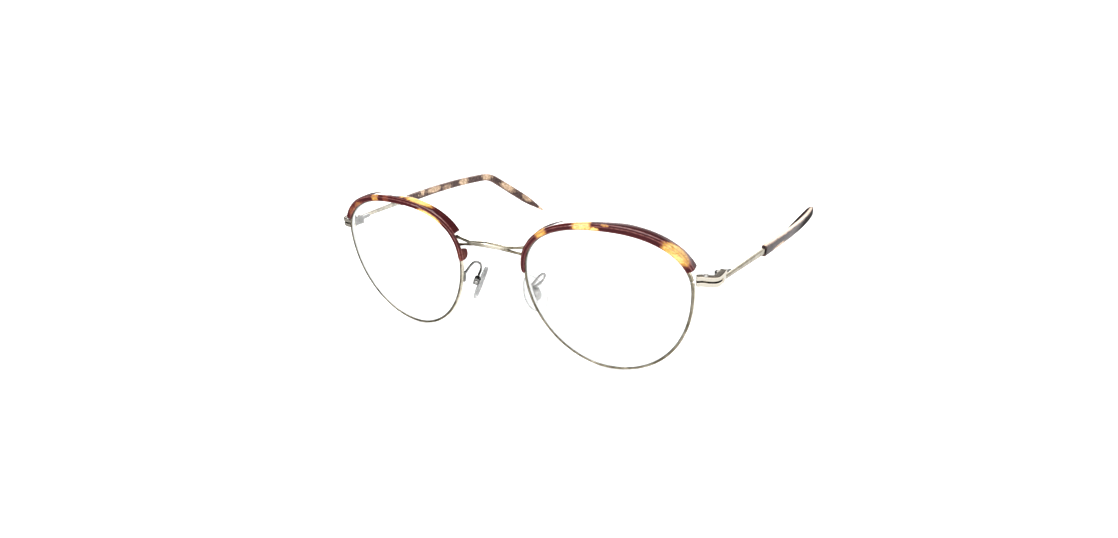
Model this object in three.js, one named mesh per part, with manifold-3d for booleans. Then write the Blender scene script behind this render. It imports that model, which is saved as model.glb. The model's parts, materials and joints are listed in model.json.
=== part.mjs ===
// Browline eyeglasses: two thin metal eyewires with an acetate brow over each, a forked metal
// bridge, adjustable nose pads, and folding metal temples with acetate tips.
//
// Millimetres. Inside the stand group +X is the wearer's left, +Y runs back to the ears and +Z is
// up. Everything is drawn for the wearer's left and mirrored for the right. The stand group then
// tips the whole frame until the rims and the temple tips rest on one level.

import * as THREE from 'three';
import { mergeVertices } from 'three/addons/utils/BufferGeometryUtils.js';
import Module from 'manifold-3d';

const wasm = await Module();
wasm.setup();

const rad = THREE.MathUtils.degToRad;
const vec = (x, y, z) => new THREE.Vector3(x, y, z);

// ---------------------------------------------------------------- driving dimensions

// Rim opening: one rounded form whose four quarters have their own roundness.
const OPENING_HALF_WIDTH = 23.5;
const OPENING_RISE = 15.5;
const OPENING_DROP = 27.3;
const ROUNDNESS = { upperTemple: 2.2, upperNose: 2.4, lowerNose: 1.9, lowerTemple: 2.15 };
const LENS_CENTRE = 35.3;
const WRAP = rad(4.1);
const LENS_CURVE_RADIUS = 120;
const LENS_THICKNESS = 1.5;
const LENS_EDGE_GAP = 0.12;
const LENS_FACE_SHARES = [0.35, 0.7];
const BEVEL_HALF_WIDTH = 0.25;
const BEVEL_REACH = 0.18;
const RIM_STATIONS = 64;

// Eyewire: a channel section, measured out from the opening and back from the lens.
const RIM_SETBACK = 0.3;
const RIM_WALL = 0.75;
const RIM_HALF_DEPTH = 0.7;
const RIM_CHAMFER = 0.22;
const GROOVE_HALF_WIDTH = 0.42;
const GROOVE_DEPTH = 0.38;
const RIM_SLIT_HEIGHT = 3.5;
const RIM_SLIT = 0.36;

// Brow: an L of acetate, in front of the eyewire and over it.
const BROW_WALL = { temple: 2.45, top: 1.95, nose: 1.75 };
const BROW_FRONT = 1.35;
const BROW_BACK = 2.1;
const BROW_BEVEL = 0.45;
const BROW_BEVEL_IN = 0.54;
const BROW_BEVEL_BACK = 0.63;
const BROW_LIP = 0.1;
const BROW_GAP = 0.13;
const BROW_TEMPLE_ANGLE = rad(15.5);
const BROW_NOSE_ANGLE = rad(180.6);
const BROW_STATIONS = 44;
const NOTCH_LOW = 3.4;
const NOTCH_HIGH = 7.75;
const NOTCH_DEPTH = 0.62;
const NOTCH_X = [4, 14.5];
const NOTCH_BACK_Y = 6;

// Bridge: a bowed bar that splits into two prongs at each rim.
const BRIDGE_CENTRE = vec(0, -1.4, 7.4);
const BRIDGE_FORK = vec(6, -0.7, 6.85);
const BRIDGE_HALF_HEIGHT = { end: 0.62, middle: 0.86 };
const BRIDGE_HALF_DEPTH = { end: 0.55, middle: 0.8 };
const PRONG_HEIGHTS = [6.85, 4.6];
const PRONG_RADIUS = { root: 0.52, rim: 0.38 };
const PRONG_GAP = 0.1;
const PRONG_DEPTH = 0.35;
const PRONG_OVERLAP = vec(-0.9, -0.05, 0);

// End piece and closing block: two bars, one above the other, that turn back at the corner.
const BLOCK_TOP = 4.95;
const BLOCK_BOTTOM = 2.05;
const BLOCK_HALF_WIDTH = 0.82;
const BLOCK_EDGE = 0.22;
const BLOCK_LINE = [
  vec(59.15, 5.25, 0), vec(60.75, 6, 0), vec(62.5, 6.15, 0),
  vec(63.85, 6.85, 0), vec(64.3, 8.4, 0), vec(64.55, 11.5, 0),
];
const CLOSING_BLOCK_SHARE = 0.7;
const HEEL_SHARE = 0.82;
const HEEL_GAP = 0.3;
const RIM_SCREW_ALONG = 0.24;
const SCREW_CLEARANCE = 0.12;

// Hinge: two front knuckles and one temple knuckle on a screw.
const HINGE_X = 62.9;
const HINGE_Y = 12.3;
const KNUCKLE_RADIUS = 0.95;
const KNUCKLE_BORE = 0.5;
const KNUCKLE_GAP = 0.12;
const HINGE_LOW = 0.75;
const HINGE_HIGH = 3.6;
const LEAF_THICKNESS = 0.8;
const LEAF_LENGTH = 2.6;
const LEAF_INSET = 0.42;
const LEAF_TO_KNUCKLE = 0.2;
const WEB_LENGTH = 0.45;
const TEMPLE_LEAF_THICKNESS = 1.2;
const TEMPLE_LEAF_HALF_HEIGHT = 0.6;
const TEMPLE_LEAF_STOPS = [1.4, 3, 5.6];
const TEMPLE_LEAF_GAP = 0.12;
const SCREW_SHANK = 0.42;
const SCREW_HEAD_RADIUS = 0.8;
const SCREW_HEAD_HEIGHT = 0.35;
const SCREW_LIFT = 0.06;
const RIM_SCREW_LENGTH = 2.8;

// Temple: a wire that leaves the hinge outward, curves in along the head and bends over the ear.
const TEMPLE_START = vec(64.75, 12, 2.38);
const TEMPLE_SPLAY = rad(9.3);
const TEMPLE_DROP = rad(7.3);
const STRAIGHT_LENGTH = 30;
const BEND_START = 92;
const BEND_LENGTH = 12;
const TEMPLE_LENGTH = 138;
const BOW_IN = rad(10.5);
const BOW_DOWN = rad(3.3);
const BEND_IN = rad(25);
const BEND_DOWN = rad(29.7);
const SECTION_ROUNDING = 0.62;
const SHAFT_HALF = { height: [0.6, 1.05], thickness: [0.45, 0.5] };
const CORE_HALF = { height: [0.65, 0.32], thickness: [0.42, 0.26] };
const CORE_END_GAP = 10;
const CORE_CLEARANCE = 0.15;

// Acetate sleeve over the temple's core wire.
const SLEEVE_START = 28.6;
const SLEEVE_HALF_HEIGHT = 1.7;
const SLEEVE_HALF_THICKNESS = 0.85;
const SLEEVE_FLARE = { height: 0.1, length: 16 };
const SLEEVE_PADDLE = { height: 0.25, length: 24 };
const SLEEVE_POINT = { height: 0.72, heightLength: 17, thickness: 0.55, thicknessLength: 20 };

// Nose pad: a rounded plate that leans and splays to match the side of a nose.
const PAD_CENTRE = vec(9.8, 6.9, -10.4);
const PAD_LONG_AXIS = vec(-0.435, 0.12, 0.895).normalize();
const PAD_SPLAY = rad(30);
const PAD_LENGTH = 11.8;
const PAD_WIDTH = 7.4;
const PAD_THICKNESS = 1.2;
const PAD_NARROWING = 0.16;
const PAD_POCKET = { length: 5.4, width: 3.6, depth: 0.5 };
const INSERT = { length: 5, width: 3.2, thickness: 0.3, lift: 0.1 };
const TAB_HALF_LENGTH = 0.7;
const TAB_ABOVE_PIN = 0.42;
const TAB_GAP = 0.12;
const BOX_ABOVE_PAD = 0.15;
const BOX_DEPTH = 1.25;
const BOX_UP = 0.2;
const BOX_HALF_LENGTH = 1.15;
const BOX_HALF_WIDTH = 1.05;
const BOX_WALL = 0.3;
const PIN_RADIUS = 0.28;
const PIN_CLEARANCE = 0.07;
const PIN_HEAD = { radius: 0.55, height: 0.3 };

// Pad arm: a wire foot behind the eyewire and a loop back, over and down to the pad box.
const ARM_RADIUS = 0.42;
const ARM_FOOT_RADIUS = 0.5;
const ARM_GAP = 0.12;
const ARM_FOOT_HEIGHTS = [-8.2, -6.4, -4.6];
const ARM_LEAVES_AT = -5.4;
const ARM_LOOP = [
  vec(12, 4.6, -4.7), vec(12.1, 7, -4.2), vec(12.1, 9.2, -4.6),
  vec(11.7, 10.4, -5.9), vec(11.2, 9.6, -7.3), vec(10.7, 8, -7.8),
];

// ---------------------------------------------------------------- materials

function metal(color, roughness) {
  return new THREE.MeshStandardMaterial({ color, roughness, metalness: 1 });
}

function plastic(color, roughness) {
  return new THREE.MeshStandardMaterial({ color, roughness, metalness: 0 });
}

const rimMetal = () => metal(0xc9c3a8, 0.28);
const steel = () => metal(0xb4b3ad, 0.3);
const acetate = () => plastic(0x4b1e1e, 0.16);
const clearPad = () => new THREE.MeshStandardMaterial({
  color: 0xdadcdc, roughness: 0.25, metalness: 0, transparent: true, opacity: 0.5,
});
const lensGlass = () => new THREE.MeshStandardMaterial({
  color: 0xffffff, roughness: 0.03, metalness: 0, transparent: true, opacity: 0.12,
});

// ---------------------------------------------------------------- solids

function volumeOf(geometry) {
  const position = geometry.getAttribute('position');
  const index = geometry.getIndex();
  const a = vec(0, 0, 0);
  const b = vec(0, 0, 0);
  const c = vec(0, 0, 0);
  let sum = 0;
  for (let i = 0; i < index.count; i += 3) {
    a.fromBufferAttribute(position, index.getX(i));
    b.fromBufferAttribute(position, index.getX(i + 1));
    c.fromBufferAttribute(position, index.getX(i + 2));
    sum += a.dot(b.cross(c));
  }
  return sum / 6;
}

function flipFaces(geometry) {
  const index = geometry.getIndex();
  for (let i = 0; i < index.count; i += 3) {
    const first = index.getX(i);
    index.setX(i, index.getX(i + 2));
    index.setX(i + 2, first);
  }
  return geometry;
}

function mirrored(geometry) {
  return flipFaces(geometry.clone().scale(-1, 1, 1));
}

// The flat end of a loft: the ring's own plane gives the two directions it is triangulated in.
function capFaces(ring) {
  const centre = vec(0, 0, 0);
  ring.forEach((p) => centre.addScaledVector(p, 1 / ring.length));
  const across = ring[0].clone().sub(centre).normalize();
  const normal = vec(0, 0, 0);
  ring.forEach((p, i) => {
    const q = ring[(i + 1) % ring.length];
    normal.add(p.clone().sub(centre).cross(q.clone().sub(centre)));
  });
  const up = normal.normalize().cross(across).normalize();
  const flat = ring.map((p) => {
    const d = p.clone().sub(centre);
    return new THREE.Vector2(d.dot(across), d.dot(up));
  });
  return THREE.ShapeUtils.triangulateShape(flat, []);
}

// A closed body through a row of rings with the same number of points.
function loft(rings) {
  const count = rings[0].length;
  const index = [];
  for (let i = 0; i < rings.length - 1; i += 1) {
    for (let j = 0; j < count; j += 1) {
      const a = i * count + j;
      const b = i * count + ((j + 1) % count);
      index.push(a, b, a + count, b, b + count, a + count);
    }
  }
  const last = (rings.length - 1) * count;
  capFaces(rings[0]).forEach(([a, b, c]) => index.push(c, b, a));
  capFaces(rings[rings.length - 1]).forEach(([a, b, c]) => index.push(last + a, last + b, last + c));
  const geometry = new THREE.BufferGeometry().setFromPoints(rings.flat());
  geometry.setIndex(index);
  return volumeOf(geometry) < 0 ? flipFaces(geometry) : geometry;
}

function toManifold(geometry) {
  const bare = geometry.clone();
  bare.deleteAttribute('normal');
  bare.deleteAttribute('uv');
  const merged = mergeVertices(bare, 1e-4);
  return new wasm.Manifold(new wasm.Mesh({
    numProp: 3,
    vertProperties: merged.getAttribute('position').array,
    triVerts: Uint32Array.from(merged.getIndex().array),
  }));
}

function fromManifold(body) {
  const mesh = body.getMesh();
  const geometry = new THREE.BufferGeometry();
  geometry.setAttribute('position', new THREE.BufferAttribute(mesh.vertProperties, 3));
  geometry.setIndex(new THREE.BufferAttribute(mesh.triVerts, 1));
  return geometry;
}

function join(first, ...others) {
  return fromManifold(others.reduce((body, g) => body.add(toManifold(g)), toManifold(first)));
}

function cut(first, ...tools) {
  return fromManifold(tools.reduce((body, g) => body.subtract(toManifold(g)), toManifold(first)));
}

function box(low, high) {
  const size = high.clone().sub(low);
  const middle = low.clone().add(high).multiplyScalar(0.5);
  return new THREE.BoxGeometry(size.x, size.y, size.z).translate(middle.x, middle.y, middle.z);
}

function spread(from, to, count) {
  return Array.from({ length: count + 1 }, (_, i) => from + ((to - from) * i) / count);
}

// An upright cylinder between two heights.
function post(radius, x, y, low, high, sides = 16) {
  const geometry = new THREE.CylinderGeometry(radius, radius, high - low, sides);
  return geometry.rotateX(Math.PI / 2).translate(x, y, (low + high) / 2);
}

// A screw standing on the origin of its shank, head up: shank down to -length, head above 0.
function screw(shankRadius, length, headRadius, headHeight) {
  const edge = headHeight * 0.55;
  const crownRadius = headRadius * 0.7;
  const profile = [
    [0, -length], [shankRadius, -length], [shankRadius, 0], [headRadius, 0],
    [headRadius, edge], [crownRadius, headHeight], [0, headHeight],
  ];
  return new THREE.LatheGeometry(profile.map(([r, z]) => new THREE.Vector2(r, z)), 12)
    .rotateX(Math.PI / 2);
}

// ---------------------------------------------------------------- the lens surface

function opening(angle) {
  const c = Math.cos(angle);
  const s = Math.sin(angle);
  const height = s > 0 ? OPENING_RISE : OPENING_DROP;
  const upper = c > 0 ? ROUNDNESS.upperTemple : ROUNDNESS.upperNose;
  const lower = c > 0 ? ROUNDNESS.lowerTemple : ROUNDNESS.lowerNose;
  const n = s > 0 ? upper : lower;
  const sum = Math.abs(c / OPENING_HALF_WIDTH) ** n + Math.abs(s / height) ** n;
  return new THREE.Vector2(c, s).multiplyScalar(sum ** (-1 / n));
}

// A place on the wrapped and curved front: u towards the temple, v up, depth behind the surface.
function frontPoint(u, v, sagU, sagV, depth) {
  const y = (sagU * sagU + sagV * sagV) / (2 * LENS_CURVE_RADIUS) + RIM_SETBACK + depth;
  return vec(
    LENS_CENTRE + u * Math.cos(WRAP) - y * Math.sin(WRAP),
    u * Math.sin(WRAP) + y * Math.cos(WRAP),
    v,
  );
}

// The point at an angle round the lens, outward from the opening and back from the lens.
function rimPoint(angle, outward, depth) {
  const step = 0.002;
  const here = opening(angle);
  const along = opening(angle + step).sub(opening(angle - step)).normalize();
  const u = here.x + along.y * outward;
  const v = here.y - along.x * outward;
  return frontPoint(u, v, here.x, here.y, depth);
}

function rimRing(angle, section) {
  return section.map(([outward, depth]) => rimPoint(angle, outward, depth));
}

// The angle on the temple side or the nose side where the opening passes a height.
function angleAtHeight(height, side) {
  let low = side === 'temple' ? -0.5 : Math.PI + 0.5;
  let high = Math.PI / 2;
  for (let i = 0; i < 40; i += 1) {
    const middle = (low + high) / 2;
    if (opening(middle).y < height) low = middle;
    else high = middle;
  }
  return low;
}

// ---------------------------------------------------------------- eyewire, lens and brow

const RIM_SECTION = [
  [0, -RIM_HALF_DEPTH], [RIM_WALL - RIM_CHAMFER, -RIM_HALF_DEPTH],
  [RIM_WALL, RIM_CHAMFER - RIM_HALF_DEPTH], [RIM_WALL, RIM_HALF_DEPTH - RIM_CHAMFER],
  [RIM_WALL - RIM_CHAMFER, RIM_HALF_DEPTH], [0, RIM_HALF_DEPTH],
  [0, GROOVE_HALF_WIDTH], [GROOVE_DEPTH, 0], [0, -GROOVE_HALF_WIDTH],
];

function eyewire() {
  const start = angleAtHeight(RIM_SLIT_HEIGHT + RIM_SLIT / 2, 'temple');
  const end = angleAtHeight(RIM_SLIT_HEIGHT - RIM_SLIT / 2, 'temple') + 2 * Math.PI;
  const rings = [];
  for (let i = 0; i <= RIM_STATIONS; i += 1) {
    rings.push(rimRing(start + ((end - start) * i) / RIM_STATIONS, RIM_SECTION));
  }
  return loft(rings);
}

function lens() {
  const angles = Array.from({ length: RIM_STATIONS }, (_, i) => (i * 2 * Math.PI) / RIM_STATIONS);
  const half = LENS_THICKNESS / 2;
  const edge = (outward, depth) => angles.map((a) => rimPoint(a, outward, depth));
  const face = (share, depth) => angles.map((a) => {
    const p = opening(a).multiplyScalar(share);
    return frontPoint(p.x, p.y, p.x, p.y, depth);
  });
  const [inner, outer] = LENS_FACE_SHARES;
  return loft([
    face(inner, -half), face(outer, -half),
    edge(-LENS_EDGE_GAP, -half), edge(-LENS_EDGE_GAP, -BEVEL_HALF_WIDTH),
    edge(BEVEL_REACH, 0),
    edge(-LENS_EDGE_GAP, BEVEL_HALF_WIDTH), edge(-LENS_EDGE_GAP, half),
    face(outer, half), face(inner, half),
  ]);
}

// Half way round it is the top thickness, with the thicker end at the temple.
function browWall(angle) {
  const { temple, top, nose } = BROW_WALL;
  const share = (Math.PI / 2 - angle) / (Math.PI / 2);
  return share > 0
    ? THREE.MathUtils.lerp(top, temple, share)
    : THREE.MathUtils.lerp(top, nose, -share);
}

const BROW_INSIDE = RIM_HALF_DEPTH + BROW_GAP;

function browSection(wall) {
  const round = BROW_BEVEL / 2;
  return [
    [BROW_LIP, -BROW_FRONT + round], [BROW_LIP + round, -BROW_FRONT],
    [wall - BROW_BEVEL_IN, -BROW_FRONT], [wall, -BROW_FRONT + BROW_BEVEL_BACK],
    [wall, BROW_BACK - round], [wall - round, BROW_BACK],
    [RIM_WALL + BROW_GAP, BROW_BACK], [RIM_WALL + BROW_GAP, -BROW_INSIDE],
    [BROW_LIP, -BROW_INSIDE],
  ];
}

function brow() {
  const rings = [];
  for (let i = 0; i <= BROW_STATIONS; i += 1) {
    const angle = THREE.MathUtils.lerp(BROW_TEMPLE_ANGLE, BROW_NOSE_ANGLE, i / BROW_STATIONS);
    rings.push(rimRing(angle, browSection(browWall(angle))));
  }
  const behindFlange = rimPoint(angleAtHeight(NOTCH_LOW, 'nose'), RIM_WALL, -NOTCH_DEPTH).y;
  const notch = box(
    vec(NOTCH_X[0], behindFlange, NOTCH_LOW), vec(NOTCH_X[1], NOTCH_BACK_Y, NOTCH_HIGH),
  );
  return cut(loft(rings), notch);
}

// ---------------------------------------------------------------- swept bars

// Oval rings along a curve that runs sideways, for a bar whose height stays upright.
function ovalRings(curve, steps, halfHeight, halfDepth, sides = 10) {
  const rings = [];
  for (let i = 0; i <= steps; i += 1) {
    const t = i / steps;
    const centre = curve.getPoint(t);
    const along = curve.getTangent(t);
    const deep = vec(0, 0, 1).cross(along).normalize();
    const tall = along.clone().cross(deep).normalize();
    rings.push(Array.from({ length: sides }, (_, k) => {
      const turn = (k * 2 * Math.PI) / sides;
      return centre.clone()
        .addScaledVector(tall, Math.cos(turn) * halfHeight(t))
        .addScaledVector(deep, Math.sin(turn) * halfDepth(t));
    }));
  }
  return rings;
}

// One prong, bowed a little forward, from inside the bar's end to just off the eyewire.
function prong(height, side) {
  const rim = rimPoint(angleAtHeight(height, 'nose'), RIM_WALL + PRONG_GAP, PRONG_DEPTH);
  const outer = rim.clone().setX(rim.x - PRONG_RADIUS.rim * 0.4);
  const fan = (height - BRIDGE_FORK.z) * 0.12;
  const root = BRIDGE_FORK.clone().add(PRONG_OVERLAP).setZ(BRIDGE_FORK.z + fan);
  const middle = root.clone().lerp(outer, 0.55).add(vec(0, -0.25, 0.1));
  const points = [root, middle, outer].map((p) => vec(p.x * side, p.y, p.z));
  const curve = new THREE.CatmullRomCurve3(points);
  const size = (t) => THREE.MathUtils.lerp(PRONG_RADIUS.root, PRONG_RADIUS.rim, t);
  return loft(ovalRings(curve, 8, size, size, 8));
}

function bridge() {
  const fork = (side) => vec(BRIDGE_FORK.x * side, BRIDGE_FORK.y, BRIDGE_FORK.z);
  const curve = new THREE.CatmullRomCurve3([fork(-1), BRIDGE_CENTRE, fork(1)]);
  const swelling = ({ end, middle }) => (t) => end + (middle - end) * Math.sin(Math.PI * t) ** 0.6;
  const bar = loft(ovalRings(curve, 14, swelling(BRIDGE_HALF_HEIGHT), swelling(BRIDGE_HALF_DEPTH)));
  const prongs = [-1, 1].flatMap((side) => PRONG_HEIGHTS.map((height) => prong(height, side)));
  return join(bar, ...prongs);
}

// ---------------------------------------------------------------- end piece and closing block

// The middle line of both bars: out from the back of the rim, round the corner to the hinge.
const blockPath = new THREE.CatmullRomCurve3(BLOCK_LINE);
const blockEnd = BLOCK_LINE[BLOCK_LINE.length - 1];

// One bar between two heights, along the first share of the path.
function blockBar(share, low, high) {
  const rings = spread(0, share, 18).map((t) => {
    const centre = blockPath.getPointAt(t);
    const along = blockPath.getTangentAt(t);
    const out = vec(along.y, -along.x, 0);
    const corners = [
      [-BLOCK_HALF_WIDTH, low],
      [BLOCK_HALF_WIDTH - BLOCK_EDGE, low], [BLOCK_HALF_WIDTH, low + BLOCK_EDGE],
      [BLOCK_HALF_WIDTH, high - BLOCK_EDGE], [BLOCK_HALF_WIDTH - BLOCK_EDGE, high],
      [-BLOCK_HALF_WIDTH, high],
    ];
    return corners.map(([side, z]) => centre.clone().addScaledVector(out, side).setZ(z));
  });
  return loft(rings);
}

const rimScrewPlace = blockPath.getPointAt(RIM_SCREW_ALONG);
const SPLIT_LOW = RIM_SLIT_HEIGHT - RIM_SLIT / 2;
const SPLIT_HIGH = RIM_SLIT_HEIGHT + RIM_SLIT / 2;

function screwHole(radius) {
  return post(radius, rimScrewPlace.x, rimScrewPlace.y, BLOCK_BOTTOM - 1, BLOCK_TOP + 1, 12);
}

// The upper bar, with a heel behind the closing block that carries the hinge.
function endPiece() {
  const bar = blockBar(1, SPLIT_HIGH, BLOCK_TOP);
  const heelX = blockPath.getPointAt(HEEL_SHARE).x;
  const heel = box(
    vec(
      heelX - BLOCK_HALF_WIDTH + 0.1,
      blockPath.getPointAt(CLOSING_BLOCK_SHARE).y + HEEL_GAP,
      BLOCK_BOTTOM,
    ),
    vec(heelX + BLOCK_HALF_WIDTH, blockEnd.y, SPLIT_HIGH + 0.5),
  );
  return cut(join(bar, heel), screwHole(SCREW_SHANK + SCREW_CLEARANCE));
}

function closingBlock() {
  const bar = blockBar(CLOSING_BLOCK_SHARE, BLOCK_BOTTOM, SPLIT_LOW);
  return cut(bar, screwHole(SCREW_SHANK + SCREW_CLEARANCE));
}

// ---------------------------------------------------------------- hinge

const KNUCKLE_HEIGHT = (HINGE_HIGH - HINGE_LOW - 2 * KNUCKLE_GAP) / 3;
const LEAF_OUTER_X = blockEnd.x - BLOCK_HALF_WIDTH - LEAF_INSET - HINGE_X;

// A knuckle about the hinge line with a web that reaches its leaf, on the +Y or the -Y side.
function knuckle(low, webTowards) {
  const webEnd = webTowards * (KNUCKLE_RADIUS + WEB_LENGTH);
  const web = box(
    vec(LEAF_OUTER_X - LEAF_THICKNESS, Math.min(0, webEnd), low),
    vec(LEAF_OUTER_X, Math.max(0, webEnd), low + KNUCKLE_HEIGHT),
  );
  const barrel = post(KNUCKLE_RADIUS, 0, 0, low, low + KNUCKLE_HEIGHT);
  return cut(join(barrel, web), post(KNUCKLE_BORE, 0, 0, low - 1, low + KNUCKLE_HEIGHT + 1));
}

// All hinge pieces are drawn about the hinge line at the origin.
function frontHinge() {
  const leaf = box(
    vec(LEAF_OUTER_X - LEAF_THICKNESS, blockEnd.y - LEAF_LENGTH - HINGE_Y, HINGE_LOW),
    vec(LEAF_OUTER_X, -KNUCKLE_RADIUS - LEAF_TO_KNUCKLE, HINGE_HIGH),
  );
  return join(leaf, knuckle(HINGE_LOW, -1), knuckle(HINGE_HIGH - KNUCKLE_HEIGHT, -1));
}

// ---------------------------------------------------------------- temple

const smooth = (x) => {
  const t = THREE.MathUtils.clamp(x, 0, 1);
  return t * t * (3 - 2 * t);
};

// Points and directions along the temple, stepped from its heading at each length.
function templeLine() {
  const step = 0.2;
  const line = [];
  const place = TEMPLE_START.clone().sub(vec(HINGE_X, HINGE_Y, 0));
  for (let s = 0; s <= TEMPLE_LENGTH + step; s += step) {
    const span = BEND_START - STRAIGHT_LENGTH;
    const bow = THREE.MathUtils.clamp((s - STRAIGHT_LENGTH) / span, 0, 1) ** 1.5;
    const bend = smooth((s - BEND_START) / BEND_LENGTH);
    const yaw = TEMPLE_SPLAY - BOW_IN * bow - BEND_IN * bend;
    const pitch = TEMPLE_DROP + BOW_DOWN * bow + BEND_DOWN * bend;
    const along = vec(
      Math.sin(yaw) * Math.cos(pitch), Math.cos(yaw) * Math.cos(pitch), -Math.sin(pitch),
    );
    line.push({ place: place.clone(), along });
    place.addScaledVector(along, step);
  }
  return (s) => line[Math.min(line.length - 1, Math.round(s / step))];
}

const onTemple = templeLine();

// A rounded rectangle across the temple: half thickness across, half height up.
function templeRing(s, halfThickness, halfHeight) {
  const { place, along } = onTemple(s);
  const out = vec(along.y, -along.x, 0).normalize();
  const up = out.clone().cross(along).normalize();
  const c = SECTION_ROUNDING;
  const outline = [[1, c], [c, 1], [-c, 1], [-1, c], [-1, -c], [-c, -1], [c, -1], [1, -c]];
  return outline.map(([x, z]) => place.clone()
    .addScaledVector(out, x * halfThickness)
    .addScaledVector(up, z * halfHeight));
}

const CORE_START = SLEEVE_START - 0.3;
const CORE_END = TEMPLE_LENGTH - CORE_END_GAP;
const BEND_END = BEND_START + BEND_LENGTH;

// Straight-line change between two sizes over a stretch of the temple.
const between = (from, to, [first, last]) => (s) => (
  THREE.MathUtils.mapLinear(s, from, to, first, last)
);
const shaftHalfHeight = between(0, CORE_START, SHAFT_HALF.height);
const shaftHalfThickness = between(0, CORE_START, SHAFT_HALF.thickness);
const coreHalfHeight = between(CORE_START, TEMPLE_LENGTH, CORE_HALF.height);
const coreHalfThickness = between(CORE_START, TEMPLE_LENGTH, CORE_HALF.thickness);

// The lengths that need a ring, closer together round the bend.
const stopsTo = (end, count) => [
  ...spread(SLEEVE_START, BEND_START, 7),
  ...spread(BEND_START, BEND_END, 7).slice(1),
  ...spread(BEND_END, end, count).slice(1),
];

// Shaft and core wire are one piece of metal, stepped down where the sleeve begins.
function templeShaft() {
  const bare = spread(0, CORE_START, 5)
    .map((s) => templeRing(s, shaftHalfThickness(s), shaftHalfHeight(s)));
  const core = [CORE_START + 0.04, ...stopsTo(CORE_END, 4)]
    .map((s) => templeRing(s, coreHalfThickness(s), coreHalfHeight(s)));
  return loft([...bare, ...core]);
}

// How far a length has come along the pointed end: 0 before it, 1 at the tip.
const pointed = (s, length) => smooth((s - (TEMPLE_LENGTH - length)) / length) ** 1.3;

// Half height of the acetate: square and flared in front, slim, fuller past the bend, pointed.
function sleeveHalfHeight(s) {
  const flare = Math.max(0, 1 - (s - SLEEVE_START) / SLEEVE_FLARE.length) ** 2;
  const paddle = smooth((s - BEND_START) / SLEEVE_PADDLE.length);
  const taper = 1 - SLEEVE_POINT.height * pointed(s, SLEEVE_POINT.heightLength);
  const full = SLEEVE_HALF_HEIGHT + SLEEVE_FLARE.height * flare + SLEEVE_PADDLE.height * paddle;
  return full * taper;
}

function sleeveHalfThickness(s) {
  const taper = 1 - SLEEVE_POINT.thickness * pointed(s, SLEEVE_POINT.thicknessLength);
  return SLEEVE_HALF_THICKNESS * taper;
}

// The sleeve: its outside from the tip forward, then its bore from the open front end back.
function templeTip() {
  const gap = CORE_CLEARANCE;
  const outside = stopsTo(TEMPLE_LENGTH, 9)
    .map((s) => templeRing(s, sleeveHalfThickness(s), sleeveHalfHeight(s)));
  const inside = stopsTo(CORE_END + 0.5, 4)
    .map((s) => templeRing(s, coreHalfThickness(s) + gap, coreHalfHeight(s) + gap));
  return loft([...outside.reverse(), ...inside]);
}

function templeHinge() {
  const low = HINGE_LOW + KNUCKLE_HEIGHT + KNUCKLE_GAP;
  const half = TEMPLE_LEAF_THICKNESS / 2;
  const tall = TEMPLE_LEAF_HALF_HEIGHT;
  const inward = shaftHalfThickness(0) + TEMPLE_LEAF_GAP + half;
  const rings = TEMPLE_LEAF_STOPS.map((s) => {
    const { place, along } = onTemple(s);
    const out = vec(along.y, -along.x, 0).normalize();
    const centre = place.clone().addScaledVector(out, -inward);
    return [[-half, -tall], [half, -tall], [half, tall], [-half, tall]]
      .map(([x, z]) => centre.clone().addScaledVector(out, x).add(vec(0, 0, z)));
  });
  return join(loft(rings), knuckle(low, 1));
}

// ---------------------------------------------------------------- nose pad and its arm

// The pad's own axes: x across it to the back, y up its length, z away from the nose.
const padAcross = vec(Math.sin(PAD_SPLAY), Math.cos(PAD_SPLAY), 0);
padAcross.addScaledVector(PAD_LONG_AXIS, -padAcross.dot(PAD_LONG_AXIS)).normalize();
const padAway = padAcross.clone().cross(PAD_LONG_AXIS).normalize();
const padTurn = new THREE.Quaternion().setFromRotationMatrix(
  new THREE.Matrix4().makeBasis(padAcross, PAD_LONG_AXIS, padAway),
);

// An egg: rounder and wider below, narrower above.
function eggShape(length, width, segments) {
  const points = Array.from({ length: segments }, (_, i) => {
    const turn = (i * 2 * Math.PI) / segments;
    const narrowing = 1 - PAD_NARROWING * Math.sin(turn);
    return new THREE.Vector2(
      (width / 2) * Math.cos(turn) * narrowing,
      (length / 2) * Math.sin(turn),
    );
  });
  return new THREE.Shape(points);
}

function plate(length, width, low, high, segments) {
  return new THREE.ExtrudeGeometry(eggShape(length, width, segments), {
    depth: high - low, bevelEnabled: false,
  }).translate(0, 0, low);
}

const BOX_LOW = PAD_THICKNESS / 2 + BOX_ABOVE_PAD;
const BOX_HIGH = BOX_LOW + BOX_DEPTH;
const PIN_HEIGHT = (BOX_LOW + BOX_HIGH) / 2;

function crossPin(radius, length) {
  return new THREE.CylinderGeometry(radius, radius, length, 10)
    .rotateZ(Math.PI / 2).translate(0, BOX_UP, PIN_HEIGHT);
}

function nosePad() {
  const half = PAD_THICKNESS / 2;
  const { length, width, depth } = PAD_POCKET;
  const body = plate(PAD_LENGTH, PAD_WIDTH, -half, half, 28);
  return cut(body, plate(length, width, half - depth, half + 1, 16).translate(0, BOX_UP, 0));
}

function padInsert() {
  const { length, width, thickness, lift } = INSERT;
  const floor = PAD_THICKNESS / 2 - PAD_POCKET.depth + lift;
  const tabHalfWidth = BOX_HALF_WIDTH - BOX_WALL - TAB_GAP;
  const foot = plate(length, width, floor, floor + thickness, 16).translate(0, BOX_UP, 0);
  const tab = box(
    vec(-tabHalfWidth, BOX_UP - TAB_HALF_LENGTH, floor + thickness / 2),
    vec(tabHalfWidth, BOX_UP + TAB_HALF_LENGTH, PIN_HEIGHT + TAB_ABOVE_PIN),
  );
  return cut(join(foot, tab), crossPin(PIN_RADIUS + PIN_CLEARANCE, 5));
}

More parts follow.
